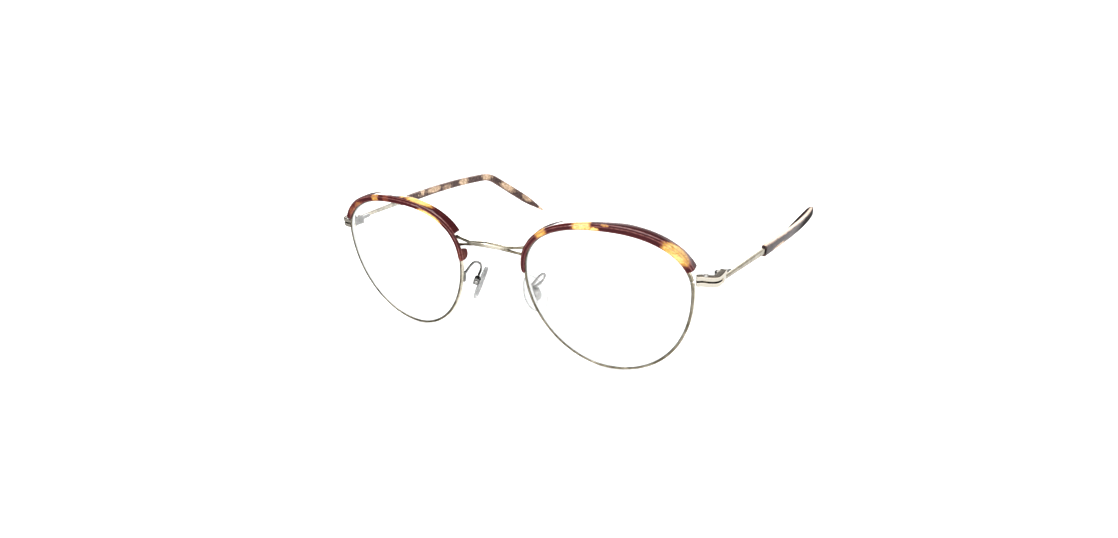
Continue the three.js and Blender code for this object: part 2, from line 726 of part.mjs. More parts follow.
function padBox() {
  const outer = box(
    vec(-BOX_HALF_WIDTH, BOX_UP - BOX_HALF_LENGTH, BOX_LOW),
    vec(BOX_HALF_WIDTH, BOX_UP + BOX_HALF_LENGTH, BOX_HIGH + BOX_WALL),
  );
  const hollow = box(
    vec(-BOX_HALF_WIDTH + BOX_WALL, BOX_UP - BOX_HALF_LENGTH - 1, BOX_LOW - 1),
    vec(BOX_HALF_WIDTH - BOX_WALL, BOX_UP + BOX_HALF_LENGTH + 1, BOX_HIGH),
  );
  return cut(outer, hollow, crossPin(PIN_RADIUS + PIN_CLEARANCE, 5));
}

function padScrew() {
  return screw(PIN_RADIUS, 2 * BOX_HALF_WIDTH, PIN_HEAD.radius, PIN_HEAD.height)
    .rotateX(-Math.PI / 2).rotateZ(Math.PI / 2)
    .translate(-BOX_HALF_WIDTH - SCREW_LIFT, BOX_UP, PIN_HEIGHT);
}

// A wire of even thickness along a curve.
function wire(curve, radius, steps, sides = 8) {
  const frames = curve.computeFrenetFrames(steps, false);
  const rings = curve.getSpacedPoints(steps).map((centre, i) => (
    Array.from({ length: sides }, (_, k) => {
      const turn = (k * 2 * Math.PI) / sides;
      return centre.clone()
        .addScaledVector(frames.normals[i], Math.cos(turn) * radius)
        .addScaledVector(frames.binormals[i], Math.sin(turn) * radius);
    })
  ));
  return loft(rings);
}

function padArm() {
  const onRim = (height) => rimPoint(
    angleAtHeight(height, 'nose'), RIM_WALL / 2, RIM_HALF_DEPTH + ARM_RADIUS + ARM_GAP,
  );
  const foot = wire(new THREE.CatmullRomCurve3(ARM_FOOT_HEIGHTS.map(onRim)), ARM_FOOT_RADIUS, 4);
  const aboveBox = BOX_UP + BOX_HALF_LENGTH + ARM_RADIUS + 0.1;
  const boxTop = vec(0, aboveBox, PIN_HEIGHT + 0.1).applyQuaternion(padTurn).add(PAD_CENTRE);
  const loop = new THREE.CatmullRomCurve3([onRim(ARM_LEAVES_AT), ...ARM_LOOP, boxTop]);
  return join(foot, wire(loop, ARM_RADIUS, 24));
}

// ---------------------------------------------------------------- assembly

const NONE = new THREE.Quaternion();
const ORIGIN = vec(0, 0, 0);

function addPiece(parent, name, side, geometry, material, place = ORIGIN, turn = NONE) {
  const mesh = new THREE.Mesh(side > 0 ? geometry : mirrored(geometry), material);
  mesh.name = name;
  mesh.position.set(place.x * side, place.y, place.z);
  mesh.quaternion.set(turn.x, turn.y * side, turn.z * side, turn.w);
  parent.add(mesh);
}

function addFront(parent, label, side) {
  const add = (name, ...rest) => addPiece(parent, `${name}_${label}`, side, ...rest);
  const capScrew = (length) => screw(SCREW_SHANK, length, SCREW_HEAD_RADIUS, SCREW_HEAD_HEIGHT);
  const onBlock = vec(rimScrewPlace.x, rimScrewPlace.y, BLOCK_TOP + SCREW_LIFT);
  const onHinge = vec(HINGE_X, HINGE_Y, HINGE_HIGH + SCREW_LIFT);
  add('eyewire', eyewire(), rimMetal());
  add('lens', lens(), lensGlass());
  add('brow', brow(), acetate());
  add('endpiece', endPiece(), steel());
  add('closing_block', closingBlock(), steel());
  add('rim_screw', capScrew(RIM_SCREW_LENGTH), steel(), onBlock);
  add('hinge_front', frontHinge(), steel(), vec(HINGE_X, HINGE_Y, 0));
  add('hinge_screw', capScrew(HINGE_HIGH - HINGE_LOW), steel(), onHinge);
  add('pad_arm', padArm(), steel());
  add('pad_box', padBox(), steel(), PAD_CENTRE, padTurn);
  add('pad_screw', padScrew(), steel(), PAD_CENTRE, padTurn);
}

function addTemple(parent, label, side) {
  const temple = new THREE.Group();
  temple.position.set(HINGE_X * side, HINGE_Y, 0);
  addPiece(temple, `hinge_temple_${label}`, side, templeHinge(), steel());
  addPiece(temple, `temple_shaft_${label}`, side, templeShaft(), rimMetal());
  addPiece(temple, `temple_tip_${label}`, side, templeTip(), acetate());
  parent.add(temple);
}

function addPad(parent, label, side) {
  addPiece(parent, `nose_pad_${label}`, side, nosePad(), clearPad(), PAD_CENTRE, padTurn);
  addPiece(parent, `pad_insert_${label}`, side, padInsert(), steel(), PAD_CENTRE, padTurn);
}

const stand = new THREE.Group();
addPiece(stand, 'bridge', 1, bridge(), rimMetal());
[['left', 1], ['right', -1]].forEach(([label, side]) => {
  addFront(stand, label, side);
  addTemple(stand, label, side);
  addPad(stand, label, side);
});

// Tip the frame until the eyewires and the temple tips touch one level plane.
function lowestOf(name, tilt) {
  stand.rotation.x = tilt;
  stand.updateMatrixWorld(true);
  return new THREE.Box3().setFromObject(stand.getObjectByName(name), true).min.z;
}

function standingTilt() {
  let low = 0;
  let high = rad(12);
  for (let i = 0; i < 40; i += 1) {
    const tilt = (low + high) / 2;
    if (lowestOf('temple_tip_left', tilt) < lowestOf('eyewire_left', tilt)) low = tilt;
    else high = tilt;
  }
  return low;
}

stand.rotation.x = standingTilt();
stand.updateMatrixWorld(true);
const bounds = new THREE.Box3().setFromObject(stand, true);
stand.position.set(0, -(bounds.min.y + bounds.max.y) / 2, -bounds.min.z);

const glasses = new THREE.Group();
glasses.add(stand);
export default glasses;
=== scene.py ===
"""Browline eyeglasses: the looks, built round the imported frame.

Every piece is drawn in millimetres in the frame's own lens axes, for the wearer's left: +X to the
wearer's left, +Y back to the ears, +Z up. `standing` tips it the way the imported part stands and
gives metres in the row frame. The right side is the left side mirrored.
"""

import json
import math

import bmesh
import bpy
import numpy as np
from mathutils import Euler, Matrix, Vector


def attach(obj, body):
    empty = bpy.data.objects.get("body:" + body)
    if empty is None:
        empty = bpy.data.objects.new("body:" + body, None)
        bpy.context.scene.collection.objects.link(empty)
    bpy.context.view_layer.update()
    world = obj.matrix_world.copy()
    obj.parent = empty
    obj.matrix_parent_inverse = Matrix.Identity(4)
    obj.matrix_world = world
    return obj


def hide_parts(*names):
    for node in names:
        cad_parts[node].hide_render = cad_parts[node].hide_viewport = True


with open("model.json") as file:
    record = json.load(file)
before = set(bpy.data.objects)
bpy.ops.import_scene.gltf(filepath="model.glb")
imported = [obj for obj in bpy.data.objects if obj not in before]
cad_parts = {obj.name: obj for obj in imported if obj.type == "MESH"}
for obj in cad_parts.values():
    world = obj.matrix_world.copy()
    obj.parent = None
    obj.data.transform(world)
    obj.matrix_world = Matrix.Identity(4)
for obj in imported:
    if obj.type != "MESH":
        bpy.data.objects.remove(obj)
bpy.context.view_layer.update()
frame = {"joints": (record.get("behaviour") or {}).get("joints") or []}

MM = 0.001
RAD = math.radians(1)

# ---------------------------------------------------------------- driving sizes, in millimetres

OPENING_HALF_WIDTH = 23.5
OPENING_RISE = 15.5
OPENING_DROP = 27.3
ROUNDNESS = {"upper": (2.2, 2.4), "lower": (2.15, 1.9)}
LENS_CENTRE = 35.3
WRAP = 4.1 * RAD
LENS_CURVE_RADIUS = 120
LENS_HALF = 0.75
RIM_SETBACK = 0.3
RIM_WALL = 0.75
RIM_HALF_DEPTH = 0.7
RIM_SLIT_HEIGHT = 3.5
RIM_SLIT = 0.36

BROW_WALL = {"temple": 2.43, "top": 1.93, "nose": 1.73}
BROW_FRONT = 1.32
BROW_BACK = 2.08
BROW_LIP = 0.1
BROW_INSIDE = 0.83
BROW_ANGLES = (15.5 * RAD, 180.6 * RAD)
NOTCH = (3.4, 7.5)
NOTCH_DEPTH = 0.64
NOTCH_EDGE = 0.14
NOTCH_LOBE = 1.0
TAIL_ROUND = 2.0
END_ROUND = 0.3

BRIDGE_CENTRE = (0, -1.4, 7.4)
BRIDGE_FORK = (6, -0.7, 6.85)
PRONG_HEIGHTS = (6.85, 4.6)

BLOCK_TOP = 4.95
BLOCK_BOTTOM = 2.05
BLOCK_HALF_WIDTH = 0.82
BLOCK_LINE = [
    (59.15, 5.25, 0), (60.75, 6, 0), (62.5, 6.15, 0),
    (63.85, 6.85, 0), (64.3, 8.4, 0), (64.55, 11.5, 0),
]
CLOSING_BLOCK_SHARE = 0.7
RIM_SCREW_ALONG = 0.24
RIM_SCREW_BORE = 0.54
SCREW_SHANK = 0.42
SCREW_HEAD = (0.79, 0.34)

HINGE = (62.9, 12.3)
HINGE_LOW = 0.75
HINGE_HIGH = 3.6
HINGE_SCREW_SEAT = 3.66
HINGE_BORE = 0.5
KNUCKLE_RADIUS = 0.95
KNUCKLE_GAP = 0.12
KNUCKLE_HEIGHT = (HINGE_HIGH - HINGE_LOW - 2 * KNUCKLE_GAP) / 3

TEMPLE_START = (64.75, 12, 2.38)
TEMPLE_STEP = 0.2
TEMPLE_CORNER_STEPS = 5
TEMPLE_YAW = (9.3, -10.5, -25)
TEMPLE_PITCH = (7.3, 3.3, 29.7)
SHAFT_HALF = np.array([(0.45, 0.58), (0.5, 1.03)])
CORE_HALF = np.array([(0.42, 0.65), (0.26, 0.32)])
CORE_END_GAP = 10
SLEEVE_HALF = (0.81, 1.69)
SLEEVE_CLEARANCE = 0.15
TEMPLE_LENGTH = 138
SLEEVE_START = 28.6
STRAIGHT_LENGTH = 30
BEND_START = 92
BEND_LENGTH = 12

PAD_CENTRE = (9.8, 6.9, -10.4)
PAD_LONG_AXIS = (-0.435, 0.12, 0.895)
PAD_SPLAY = 30 * RAD
PAD_LENGTH = 11.8
PAD_WIDTH = 7.4
PAD_HALF = 0.6
BOX_UP = 0.2
PAD_ROUNDING = 0.5
INSERT_FLOOR = 0.2
PIN_HEIGHT = 1.375
PIN_BORE = 0.35
PAD_WIRE = {"foot": 0.48, "loop": 0.41}

# ---------------------------------------------------------------- the row frame

fold = next(j for j in frame["joints"] if j["name"] == "temple_fold_left")
TILT = math.atan2(-fold["axis"][1], fold["axis"][2])
HINGE_JOINT = (*HINGE, 2.26)


def tipped(points):
    """Lens axes turned to the way the frame stands."""
    c, s = math.cos(TILT), math.sin(TILT)
    x, y, z = np.moveaxis(np.asarray(points, float), -1, 0)
    return np.stack([x, y * c - z * s, y * s + z * c], -1)


SHIFT = np.array(fold["pos_m"]) / MM - tipped(HINGE_JOINT)


def standing(points, side=1):
    """Millimetres in lens axes, for the wearer's left or right, to metres in the row frame."""
    return (tipped(np.asarray(points, float) * (side, 1, 1)) + SHIFT) * MM


# ---------------------------------------------------------------- curves and sections


def unit(v):
    v = np.asarray(v, float)
    return v / np.linalg.norm(v, axis=-1, keepdims=True)


def mix(a, b, t):
    return a + (b - a) * t


def smooth(t):
    t = np.clip(t, 0, 1)
    return t * t * (3 - 2 * t)


def round_end(t):
    """Rises from 0 to 1 as a quarter circle, and stays at 1."""
    return np.sqrt(1 - np.clip(1 - t, 0, 1) ** 2)


def linear(s, start, end, low, high):
    return mix(low, high, (s - start) / (end - start))


def catmull(points, count):
    """Evenly spaced places and headings on a centripetal Catmull-Rom curve through the points."""
    p = np.asarray(points, float)
    p = np.vstack([2 * p[0] - p[1], p, 2 * p[-1] - p[-2]])
    out = []
    for a, b, c, d in zip(p, p[1:], p[2:], p[3:]):
        t1 = max(np.linalg.norm(b - a) ** 0.5, 1e-6)
        t2 = t1 + max(np.linalg.norm(c - b) ** 0.5, 1e-6)
        t3 = t2 + max(np.linalg.norm(d - c) ** 0.5, 1e-6)
        t = np.linspace(t1, t2, 40, endpoint=False)[:, None]
        ab = mix(a, b, t / t1)
        bc = mix(b, c, (t - t1) / (t2 - t1))
        cd = mix(c, d, (t - t2) / (t3 - t2))
        abc = mix(ab, bc, t / t2)
        bcd = mix(bc, cd, (t - t1) / (t3 - t1))
        out.append(mix(abc, bcd, (t - t1) / (t2 - t1)))
    fine = np.vstack(out + [p[-2:-1]])
    return resample(fine, count)


def resample(fine, count):
    length = np.concatenate([[0], np.cumsum(np.linalg.norm(np.diff(fine, axis=0), axis=1))])
    stops = np.linspace(0, length[-1], count)
    places = np.stack([np.interp(stops, length, fine[:, k]) for k in range(3)], -1)
    return places, unit(np.gradient(places, axis=0))


def rounded(outline, reach, steps=4):
    """A closed outline with each corner eased over the reach given for it."""
    outline = np.asarray(outline, float)
    reaches = np.broadcast_to(reach, len(outline))
    out = []
    for i, p in enumerate(outline):
        before = outline[i - 1] - p
        after = outline[(i + 1) % len(outline)] - p
        r = min(reaches[i], 0.48 * np.linalg.norm(before), 0.48 * np.linalg.norm(after))
        start, end = p + unit(before) * r, p + unit(after) * r
        for t in np.linspace(0, 1, steps + 1):
            out.append((1 - t) ** 2 * start + 2 * t * (1 - t) * p + t * t * end)
    return np.array(out)


def ring_turns(sides):
    return np.arange(sides) * 2 * math.pi / sides


def upright_oval(places, headings, tall, deep, sides=20, squareness=2.0):
    """Rings across a bar that runs sideways, with tall and deep half sizes at each place."""
    across = unit(np.cross((0, 0, 1), headings))
    up = unit(np.cross(headings, across))
    turn = ring_turns(sides)
    power = 2 / squareness
    high = np.sign(np.cos(turn)) * np.abs(np.cos(turn)) ** power
    wide = np.sign(np.sin(turn)) * np.abs(np.sin(turn)) ** power
    tall, deep = (np.broadcast_to(v, len(places)) for v in (tall, deep))
    return (
        places[:, None]
        + up[:, None] * (tall[:, None] * high)[..., None]
        + across[:, None] * (deep[:, None] * wide)[..., None]
    )


def tube(places, radius, sides=20):
    """Rings of one radius along a curve, carried without twist."""
    headings = unit(np.gradient(places, axis=0))
    normal = unit(np.cross(headings[0], (0.31, 0.17, 0.93)))
    radius = np.broadcast_to(radius, len(places))
    turn = ring_turns(sides)
    rings = []
    for place, along, r in zip(places, headings, radius):
        normal = unit(normal - along * normal.dot(along))
        other = np.cross(along, normal)
        rings.append(place + r * (np.cos(turn)[:, None] * normal + np.sin(turn)[:, None] * other))
    return np.array(rings)


# ---------------------------------------------------------------- meshes


def in_scene(name, data):
    obj = bpy.data.objects.new(name, data)
    bpy.context.scene.collection.objects.link(obj)
    return obj


def new_object(name, vertices, faces):
    mesh = bpy.data.meshes.new(name)
    mesh.from_pydata([tuple(v) for v in vertices], [], faces)
    mesh.update()
    return in_scene(name, mesh)


def outward(obj):
    bm = bmesh.new()
    bm.from_mesh(obj.data)
    bmesh.ops.remove_doubles(bm, verts=bm.verts, dist=1e-7)
    bmesh.ops.recalc_face_normals(bm, faces=bm.faces)
    bm.to_mesh(obj.data)
    bm.free()
    return obj


def loft(name, rings, side=1, closed=False, values=None):
    """A closed body through rings of lens-frame points. values gives point attributes."""
    rings = np.asarray(rings, float)
    count, sides = rings.shape[:2]
    faces = []
    for i in range(count if closed else count - 1):
        here, there = i * sides, ((i + 1) % count) * sides
        for j in range(sides):
            k = (j + 1) % sides
            faces.append((here + j, here + k, there + k, there + j))
    if not closed:
        faces.append(tuple(range(sides))[::-1])
        faces.append(tuple(range((count - 1) * sides, count * sides)))
    obj = new_object(name, standing(rings.reshape(-1, 3), side), faces)
    for key, value in (values or {}).items():
        attribute = obj.data.attributes.new(key, "FLOAT", "POINT")
        attribute.data.foreach_set("value", np.asarray(value, np.float32).ravel())
    return outward(obj)


def block(name, low, high, side=1, turn=None):
    """A box between two corners, placed by turn, a function of its points, when given."""
    corners = np.array([[x, y, z] for x in (0, 1) for y in (0, 1) for z in (0, 1)], float)
    points = mix(np.asarray(low, float), np.asarray(high, float), corners)
    points = turn(points) if turn else points
    faces = [(0, 1, 3, 2), (4, 6, 7, 5), (0, 4, 5, 1), (2, 3, 7, 6), (0, 2, 6, 4), (1, 5, 7, 3)]
    return outward(new_object(name, standing(points, side), faces))


def lathe(name, profile, place, side=1, turn=None, sides=40):
    """A solid of revolution about local z from a profile of (radius, height), placed by turn."""
    angle = ring_turns(sides)
    rings = np.array([
        np.stack([r * np.cos(angle), r * np.sin(angle), np.full(sides, h)], -1)
        for r, h in profile
    ])
    rings = turn(rings.reshape(-1, 3)).reshape(rings.shape) if turn else rings + np.asarray(place)
    return loft(name, rings, side)


def applied(obj):
    """The object with its modifiers made part of its mesh."""
    graph = bpy.context.evaluated_depsgraph_get()
    mesh = bpy.data.meshes.new_from_object(obj.evaluated_get(graph))
    obj.modifiers.clear()
    obj.data = mesh
    return obj


def boolean(obj, others, operation):
    for other in others:
        step = obj.modifiers.new("boolean", "BOOLEAN")
        step.operation = operation
        step.solver = "EXACT"
        step.object = other
        applied(obj)
        bpy.data.objects.remove(other)
    return obj


def join(obj, *others):
    return boolean(obj, others, "UNION")


def cut(obj, *tools):
    return boolean(obj, tools, "DIFFERENCE")


def fused(obj, voxel, passes):
    """Soldered or cast metal: one skin with its inside corners filled and its edges eased."""
    remesh = obj.modifiers.new("skin", "REMESH")
    remesh.mode = "VOXEL"
    remesh.voxel_size = voxel * MM
    applied(obj)
    ease = obj.modifiers.new("ease", "SMOOTH")
    ease.factor = 0.5
    ease.iterations = passes
    return applied(obj)


def bevelled(obj, width, segments=3, angle=40):
    step = obj.modifiers.new("bevel", "BEVEL")
    step.width = width * MM
    step.segments = segments
    step.limit_method = "ANGLE"
    step.angle_limit = angle * RAD
    step.harden_normals = False
    return applied(obj)


def finished(obj, material, body, slot, *nodes, crease=50):
    """Smooth shading, material, the body it rides on, and the CAD nodes it stands for."""
    obj.data.materials.clear()
    obj.data.materials.append(material)
    obj.data.shade_smooth()
    obj.data.set_sharp_from_angle(angle=crease * RAD)
    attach(obj, body)
    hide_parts(*nodes)
    return obj


# ---------------------------------------------------------------- materials


def fill_ramp(ramp, stops):
    elements = ramp.color_ramp.elements
    while len(elements) < len(stops):
        elements.new(0.5)
    for element, (position, colour) in zip(elements, stops):
        element.position = position
        element.color = (*colour, 1)


class Shader:
    """A Principled material being wired up: methods return output sockets."""

    def __init__(self, name, **values):
        self.material = bpy.data.materials.new(name)
        self.material.use_nodes = True
        self.tree = self.material.node_tree
        self.tree.nodes.clear()
        out = self.add("ShaderNodeOutputMaterial")
        self.surface = self.add("ShaderNodeBsdfPrincipled")
        self.tree.links.new(self.surface.outputs[0], out.inputs["Surface"])
        for key, value in values.items():
            self.surface.inputs[key.replace("_", " ")].default_value = value

    def add(self, kind, **settings):
        made = self.tree.nodes.new(kind)
        for key, value in settings.items():
            setattr(made, key, value)
        return made

    def feed(self, socket, value):
        if isinstance(value, bpy.types.NodeSocket):
            self.tree.links.new(value, socket)
        else:
            socket.default_value = value

    def math(self, operation, a, b=0.0, c=0.0):
        made = self.add("ShaderNodeMath", operation=operation)
        for socket, value in zip(made.inputs, (a, b, c)):
            self.feed(socket, value)
        return made.outputs[0]

    def attribute(self, name):
        return self.add("ShaderNodeAttribute", attribute_name=name).outputs["Fac"]

    def place(self):
        return self.add("ShaderNodeTexCoord").outputs["Object"]

    def stretched(self, scale):
        made = self.add("ShaderNodeMapping")
        self.feed(made.inputs["Vector"], self.place())
        made.inputs["Scale"].default_value = scale
        return made.outputs[0]

    def noise(self, size, detail=3.0, roughness=0.5, vector=None, distortion=0.0):
        """Noise from 0 to 1 whose features are about size millimetres."""
        made = self.add("ShaderNodeTexNoise")
        self.feed(made.inputs["Vector"], vector or self.place())
        made.inputs["Scale"].default_value = 1 / (size * MM)
        made.inputs["Detail"].default_value = detail
        made.inputs["Roughness"].default_value = roughness
        made.inputs["Distortion"].default_value = distortion
        return made.outputs["Fac"]

    def ramp(self, value, *stops):
        made = self.add("ShaderNodeValToRGB")
        self.feed(made.inputs["Fac"], value)
        fill_ramp(made, stops)
        return made.outputs["Color"]

    def span(self, value, low, high, to_low=0.0, to_high=1.0):
        made = self.add("ShaderNodeMapRange")
        for socket, number in zip(made.inputs, (value, low, high, to_low, to_high)):
            self.feed(socket, number)
        return made.outputs[0]

    def blend(self, share, a, b):
        made = self.add("ShaderNodeMix", data_type="RGBA")
        self.feed(made.inputs[0], share)
        self.feed(made.inputs[6], a)
        self.feed(made.inputs[7], b)
        return made.outputs[2]

    def bump(self, height, distance, strength=1.0):
        made = self.add("ShaderNodeBump")
        made.inputs["Strength"].default_value = strength
        made.inputs["Distance"].default_value = distance * MM
        self.feed(made.inputs["Height"], height)
        self.feed(self.surface.inputs["Normal"], made.outputs[0])

    def set(self, name, value):
        self.feed(self.surface.inputs[name], value)


def metal_look(name, clean_and_lit, patina_and_shade, roughness, grain, by="normal", dark_beyond=None):
    """Antique plate with painted light: clean colour as painted highlight, darker patina colour as
    painted shade, with clouds and specks of real patina. by names the attribute that gives a
    point's painted light share, or "normal" to paint upright faces light and faces turned up or
    down dark. Past dark_beyond millimetres either side of the middle more painted shade is left on."""
    look = Shader(name, Metallic=1.0)
    # Painted light from the face's tilt: upright faces get the painted highlight, faces turned up
    # or down the painted shade.
    if by == "normal":
        split = look.add("ShaderNodeSeparateXYZ")
        look.feed(split.inputs[0], look.add("ShaderNodeTexCoord").outputs["Normal"])
        painted_light = look.span(look.math("ABSOLUTE", split.outputs["Z"]), 0.92, 0.3)
    else:
        painted_light = look.attribute(by)
    # Painted shade: past dark_beyond the painted light share falls to about a third, so the ends of
    # the bar are painted darker than its middle.
    if dark_beyond:
        place = look.add("ShaderNodeSeparateXYZ")
        look.feed(place.inputs[0], look.place())
        reach = look.math("ABSOLUTE", place.outputs["X"])
        kept = look.span(reach, dark_beyond * MM, (dark_beyond + 1.6) * MM, 1.0, 0.35)
        painted_light = look.math("MULTIPLY", painted_light, kept)
    clouds = look.math("SUBTRACT", look.noise(2.5, 4), 0.5)
    specks = look.noise(0.25, 2)
    share = look.math("ADD", painted_light, look.math("MULTIPLY", clouds, 0.9))
    share = look.math("ADD", share, look.math("MULTIPLY", look.math("SUBTRACT", specks, 0.5), 0.35))
    # Clean colour where the painted light share is high (painted highlight), patina colour where it
    # is low (painted shade), broken up by real patina.
    look.set("Base Color", look.ramp(share, (0.12, patina_and_shade), (0.85, clean_and_lit)))
    lines = look.noise(0.12, 2, vector=look.stretched((1, 1, 0.12)))
    look.set("Roughness", look.span(look.math("ADD", specks, lines), 0.6, 1.4, *roughness))
    look.bump(look.math("ADD", lines, specks), grain)
    return look.material


def tortoiseshell(name, patches, haze, dark, brown, amber, pale, edge_wear_and_highlight):
    """Acetate: a dark ground with soft-edged amber patches at (along, half length, across, half
    width, strength), on the left tip some of them painted highlights, a fainter cloud of haze
    between them, and paler corners that are edge wear and a painted highlight along the edges.
    along, across and corner are point attributes."""
    look = Shader(name, IOR=1.49, Specular_IOR_Level=0.3)
    along, across = look.attribute("along"), look.attribute("across")
    wander = look.noise(2.6, 3)
    ragged = look.noise(0.8, 3)
    shift = look.math("ADD", look.math("MULTIPLY", wander, 6.0), look.math("MULTIPLY", ragged, 3.0))
    shift = look.math("SUBTRACT", shift, 4.5)
    depth = look.math("SUBTRACT", look.math("MULTIPLY", ragged, 1.2), 0.6)
    total = None
    shifted_along = look.math("ADD", along, shift)
    shifted_across = look.math("ADD", across, depth)
    for centre, reach, middle, width, strength in patches:
        a = look.math("DIVIDE", look.math("SUBTRACT", shifted_along, centre), reach)
        b = look.math("DIVIDE", look.math("SUBTRACT", shifted_across, middle), width)
        apart = look.math("ADD", look.math("MULTIPLY", a, a), look.math("MULTIPLY", b, b))
        patch = look.span(apart, 1.3, 0.45, 0.0, strength)
        total = patch if total is None else look.math("MAXIMUM", total, patch)
    streaks = look.noise(1.1, 4, 0.62, distortion=0.8)
    cloud = look.span(streaks, 0.46, 0.8, 0.0, haze)
    inner = look.math("MULTIPLY", look.math("SUBTRACT", streaks, 0.5), 1.5)
    share = look.math("ADD", look.math("ADD", total, cloud), look.math("MULTIPLY", inner, total))
    ground = look.ramp(share, (0.03, dark), (0.26, brown), (0.6, amber), (0.92, pale))
    # Paler along the corners: edge wear and a painted highlight on the polished bevels.
    wear_and_highlight = look.math("MULTIPLY", look.attribute("corner"), look.span(ragged, 0.35, 0.6, 0.3, 0.75))
    look.set("Base Color", look.blend(wear_and_highlight, ground, (*edge_wear_and_highlight, 1)))
    look.set("Roughness", look.span(look.noise(0.6, 3), 0.3, 0.7, 0.03, 0.08))
    look.bump(look.noise(0.7, 2), 0.004, 0.5)
    return look.material


# The clean colours double as painted highlight and the patina colours as painted shade, besides the
# real patina.
CLEAN_AND_LIT_GOLD = (0.86, 0.80, 0.66)
GOLD_PATINA_AND_SHADE = (0.20, 0.175, 0.125)
CLEAN_AND_LIT_STEEL = (0.88, 0.82, 0.71)
STEEL_PATINA_AND_SHADE = (0.12, 0.10, 0.075)
# The edge colours are edge wear and a painted highlight together.
SHELL = {
    "dark": (0.050, 0.008, 0.010), "brown": (0.17, 0.05, 0.03),
    "amber": (0.50, 0.28, 0.065), "pale": (0.74, 0.52, 0.20), "edge_wear_and_highlight": (0.27, 0.12, 0.11),
}
TIP_SHELL = {
    "dark": (0.058, 0.037, 0.035), "brown": (0.15, 0.10, 0.08),
    "amber": (0.40, 0.28, 0.185), "pale": (0.68, 0.52, 0.38), "edge_wear_and_highlight": (0.24, 0.17, 0.15),
}
BROW_HAZE = {1: 0.05, -1: 0.1}
TIP_HAZE = {1: 0.18, -1: 0.36}
# The left tip's ground is painted darker than the right's, as painted shade.
SHADED_LEFT_TIP_SHELL = {**TIP_SHELL, "dark": (0.022, 0.012, 0.014)}

# rim_metal takes its painted light share from a point attribute; the other metals paint upright
# faces light and faces turned up or down dark.
rim_metal = metal_look("rim_metal", CLEAN_AND_LIT_GOLD, GOLD_PATINA_AND_SHADE, (0.14, 0.3), 0.004, by="painted_light")
# The bridge's prongs are painted darker than its middle, as painted shade.
bar_metal = metal_look("bar_metal", CLEAN_AND_LIT_GOLD, GOLD_PATINA_AND_SHADE, (0.12, 0.26), 0.004, dark_beyond=4.6)
block_metal = metal_look("block_metal", CLEAN_AND_LIT_STEEL, STEEL_PATINA_AND_SHADE, (0.14, 0.3), 0.004)
steel = metal_look("steel", (0.34, 0.34, 0.33), (0.035, 0.035, 0.033), (0.12, 0.28), 0.005)
screw_steel = metal_look("screw_steel", (0.7, 0.69, 0.66), (0.2, 0.19, 0.18), (0.12, 0.26), 0.003)


def brow_patches(side):
    """Amber patches as (degrees round the lens, half length, mm outward, half width, strength)."""
    if side > 0:
        return (
            (145, 5, 1, 4, 0.6), (109, 9, 1.6, 5, 0.86), (96, 6, 0.3, 0.9, 0.8),
            (86, 4.5, 2.2, 0.7, 0.5), (29.5, 9.5, 1.7, 3.4, 0.76), (13, 3, 1, 3, 0.2),
        )
    return (
        (67, 5, 1, 3.5, 0.46), (38, 7, 0.4, 1.0, 0.3), (26, 6, 0.4, 1.2, 0.24), (84, 5, 1, 2, 0.2),
        (139, 13, 0.3, 0.95, 0.92), (122, 15, 4.2, 1.7, 0.85), (177, 6, 1.4, 4, 0.09),
        (104, 4, 4.4, 1.4, 0.6),
    )


def tip_patches(side):
    """Beige patches as (mm along the temple, half length, height across, half width, strength); on
    the left tip the long strips near the top and bottom edges are painted highlights.
    """
    if side > 0:
        return (
            # Painted highlights: the long pale strips at heights of about 1.7 to 1.9 above and
            # below the middle, along the tip's top and bottom edges.
            (41, 6, -1.2, 0.8, 0.7), (62, 44, 1.75, 0.4, 0.95), (60, 30, -1.7, 0.4, 0.9),
            (112, 18, 1.9, 0.5, 0.8), (110, 14, -1.8, 0.5, 0.7), (137, 3, 0, 3, 0.7),
        )
    return (
        (43, 2.5, 0.7, 1.6, 0.7), (52, 6, 0.4, 1.4, 0.62), (63, 4, -0.7, 1.6, 0.35),
        (77, 3.4, 0.2, 2.6, 0.6), (95, 4.4, 0.5, 1.8, 0.58), (110, 5.2, 0.4, 1.6, 0.58),
        (124, 4, 0.6, 1.2, 0.5), (137.5, 4.5, 0.6, 3, 0.7),
    )


shell = {}
for side, name in ((1, "left"), (-1, "right")):
    shell["brow", side] = tortoiseshell(
        f"brow_shell_{name}", brow_patches(side), BROW_HAZE[side], **SHELL
    )
for side, name, colours in ((1, "left", SHADED_LEFT_TIP_SHELL), (-1, "right", TIP_SHELL)):
    shell["tip", side] = tortoiseshell(
        f"tip_shell_{name}", tip_patches(side), TIP_HAZE[side], **colours
    )


def clear_lens():
    look = Shader(
        "clear_lens", Base_Color=(0.985, 0.99, 0.988, 1), IOR=1.5, Alpha=0.06, Roughness=0.02,
        Coat_Weight=0.3, Coat_Roughness=0.02,
    )
    look.set("Roughness", look.span(look.noise(9, 2), 0.3, 0.7, 0.01, 0.04))
    return look.material


def pad_plastic():
    look = Shader("pad_plastic", IOR=1.42, Transmission_Weight=0.62)
    cloud = look.noise(2.2, 3)
    body = look.ramp(cloud, (0.35, (0.66, 0.67, 0.67)), (0.7, (0.84, 0.85, 0.85)))
    # Darker grey along the pad's rounded edge: painted shade standing for the dark outline of the
    # clear edge.
    painted_edge_shade = look.ramp(look.noise(0.8, 3), (0.3, (0.22, 0.22, 0.22)), (0.7, (0.42, 0.42, 0.41)))
    look.set("Base Color", look.blend(look.attribute("rim"), body, painted_edge_shade))
    look.set("Roughness", look.span(look.noise(0.7, 3), 0.3, 0.7, 0.06, 0.16))
    look.bump(look.noise(0.8, 2), 0.01, 0.6)
    return look.material


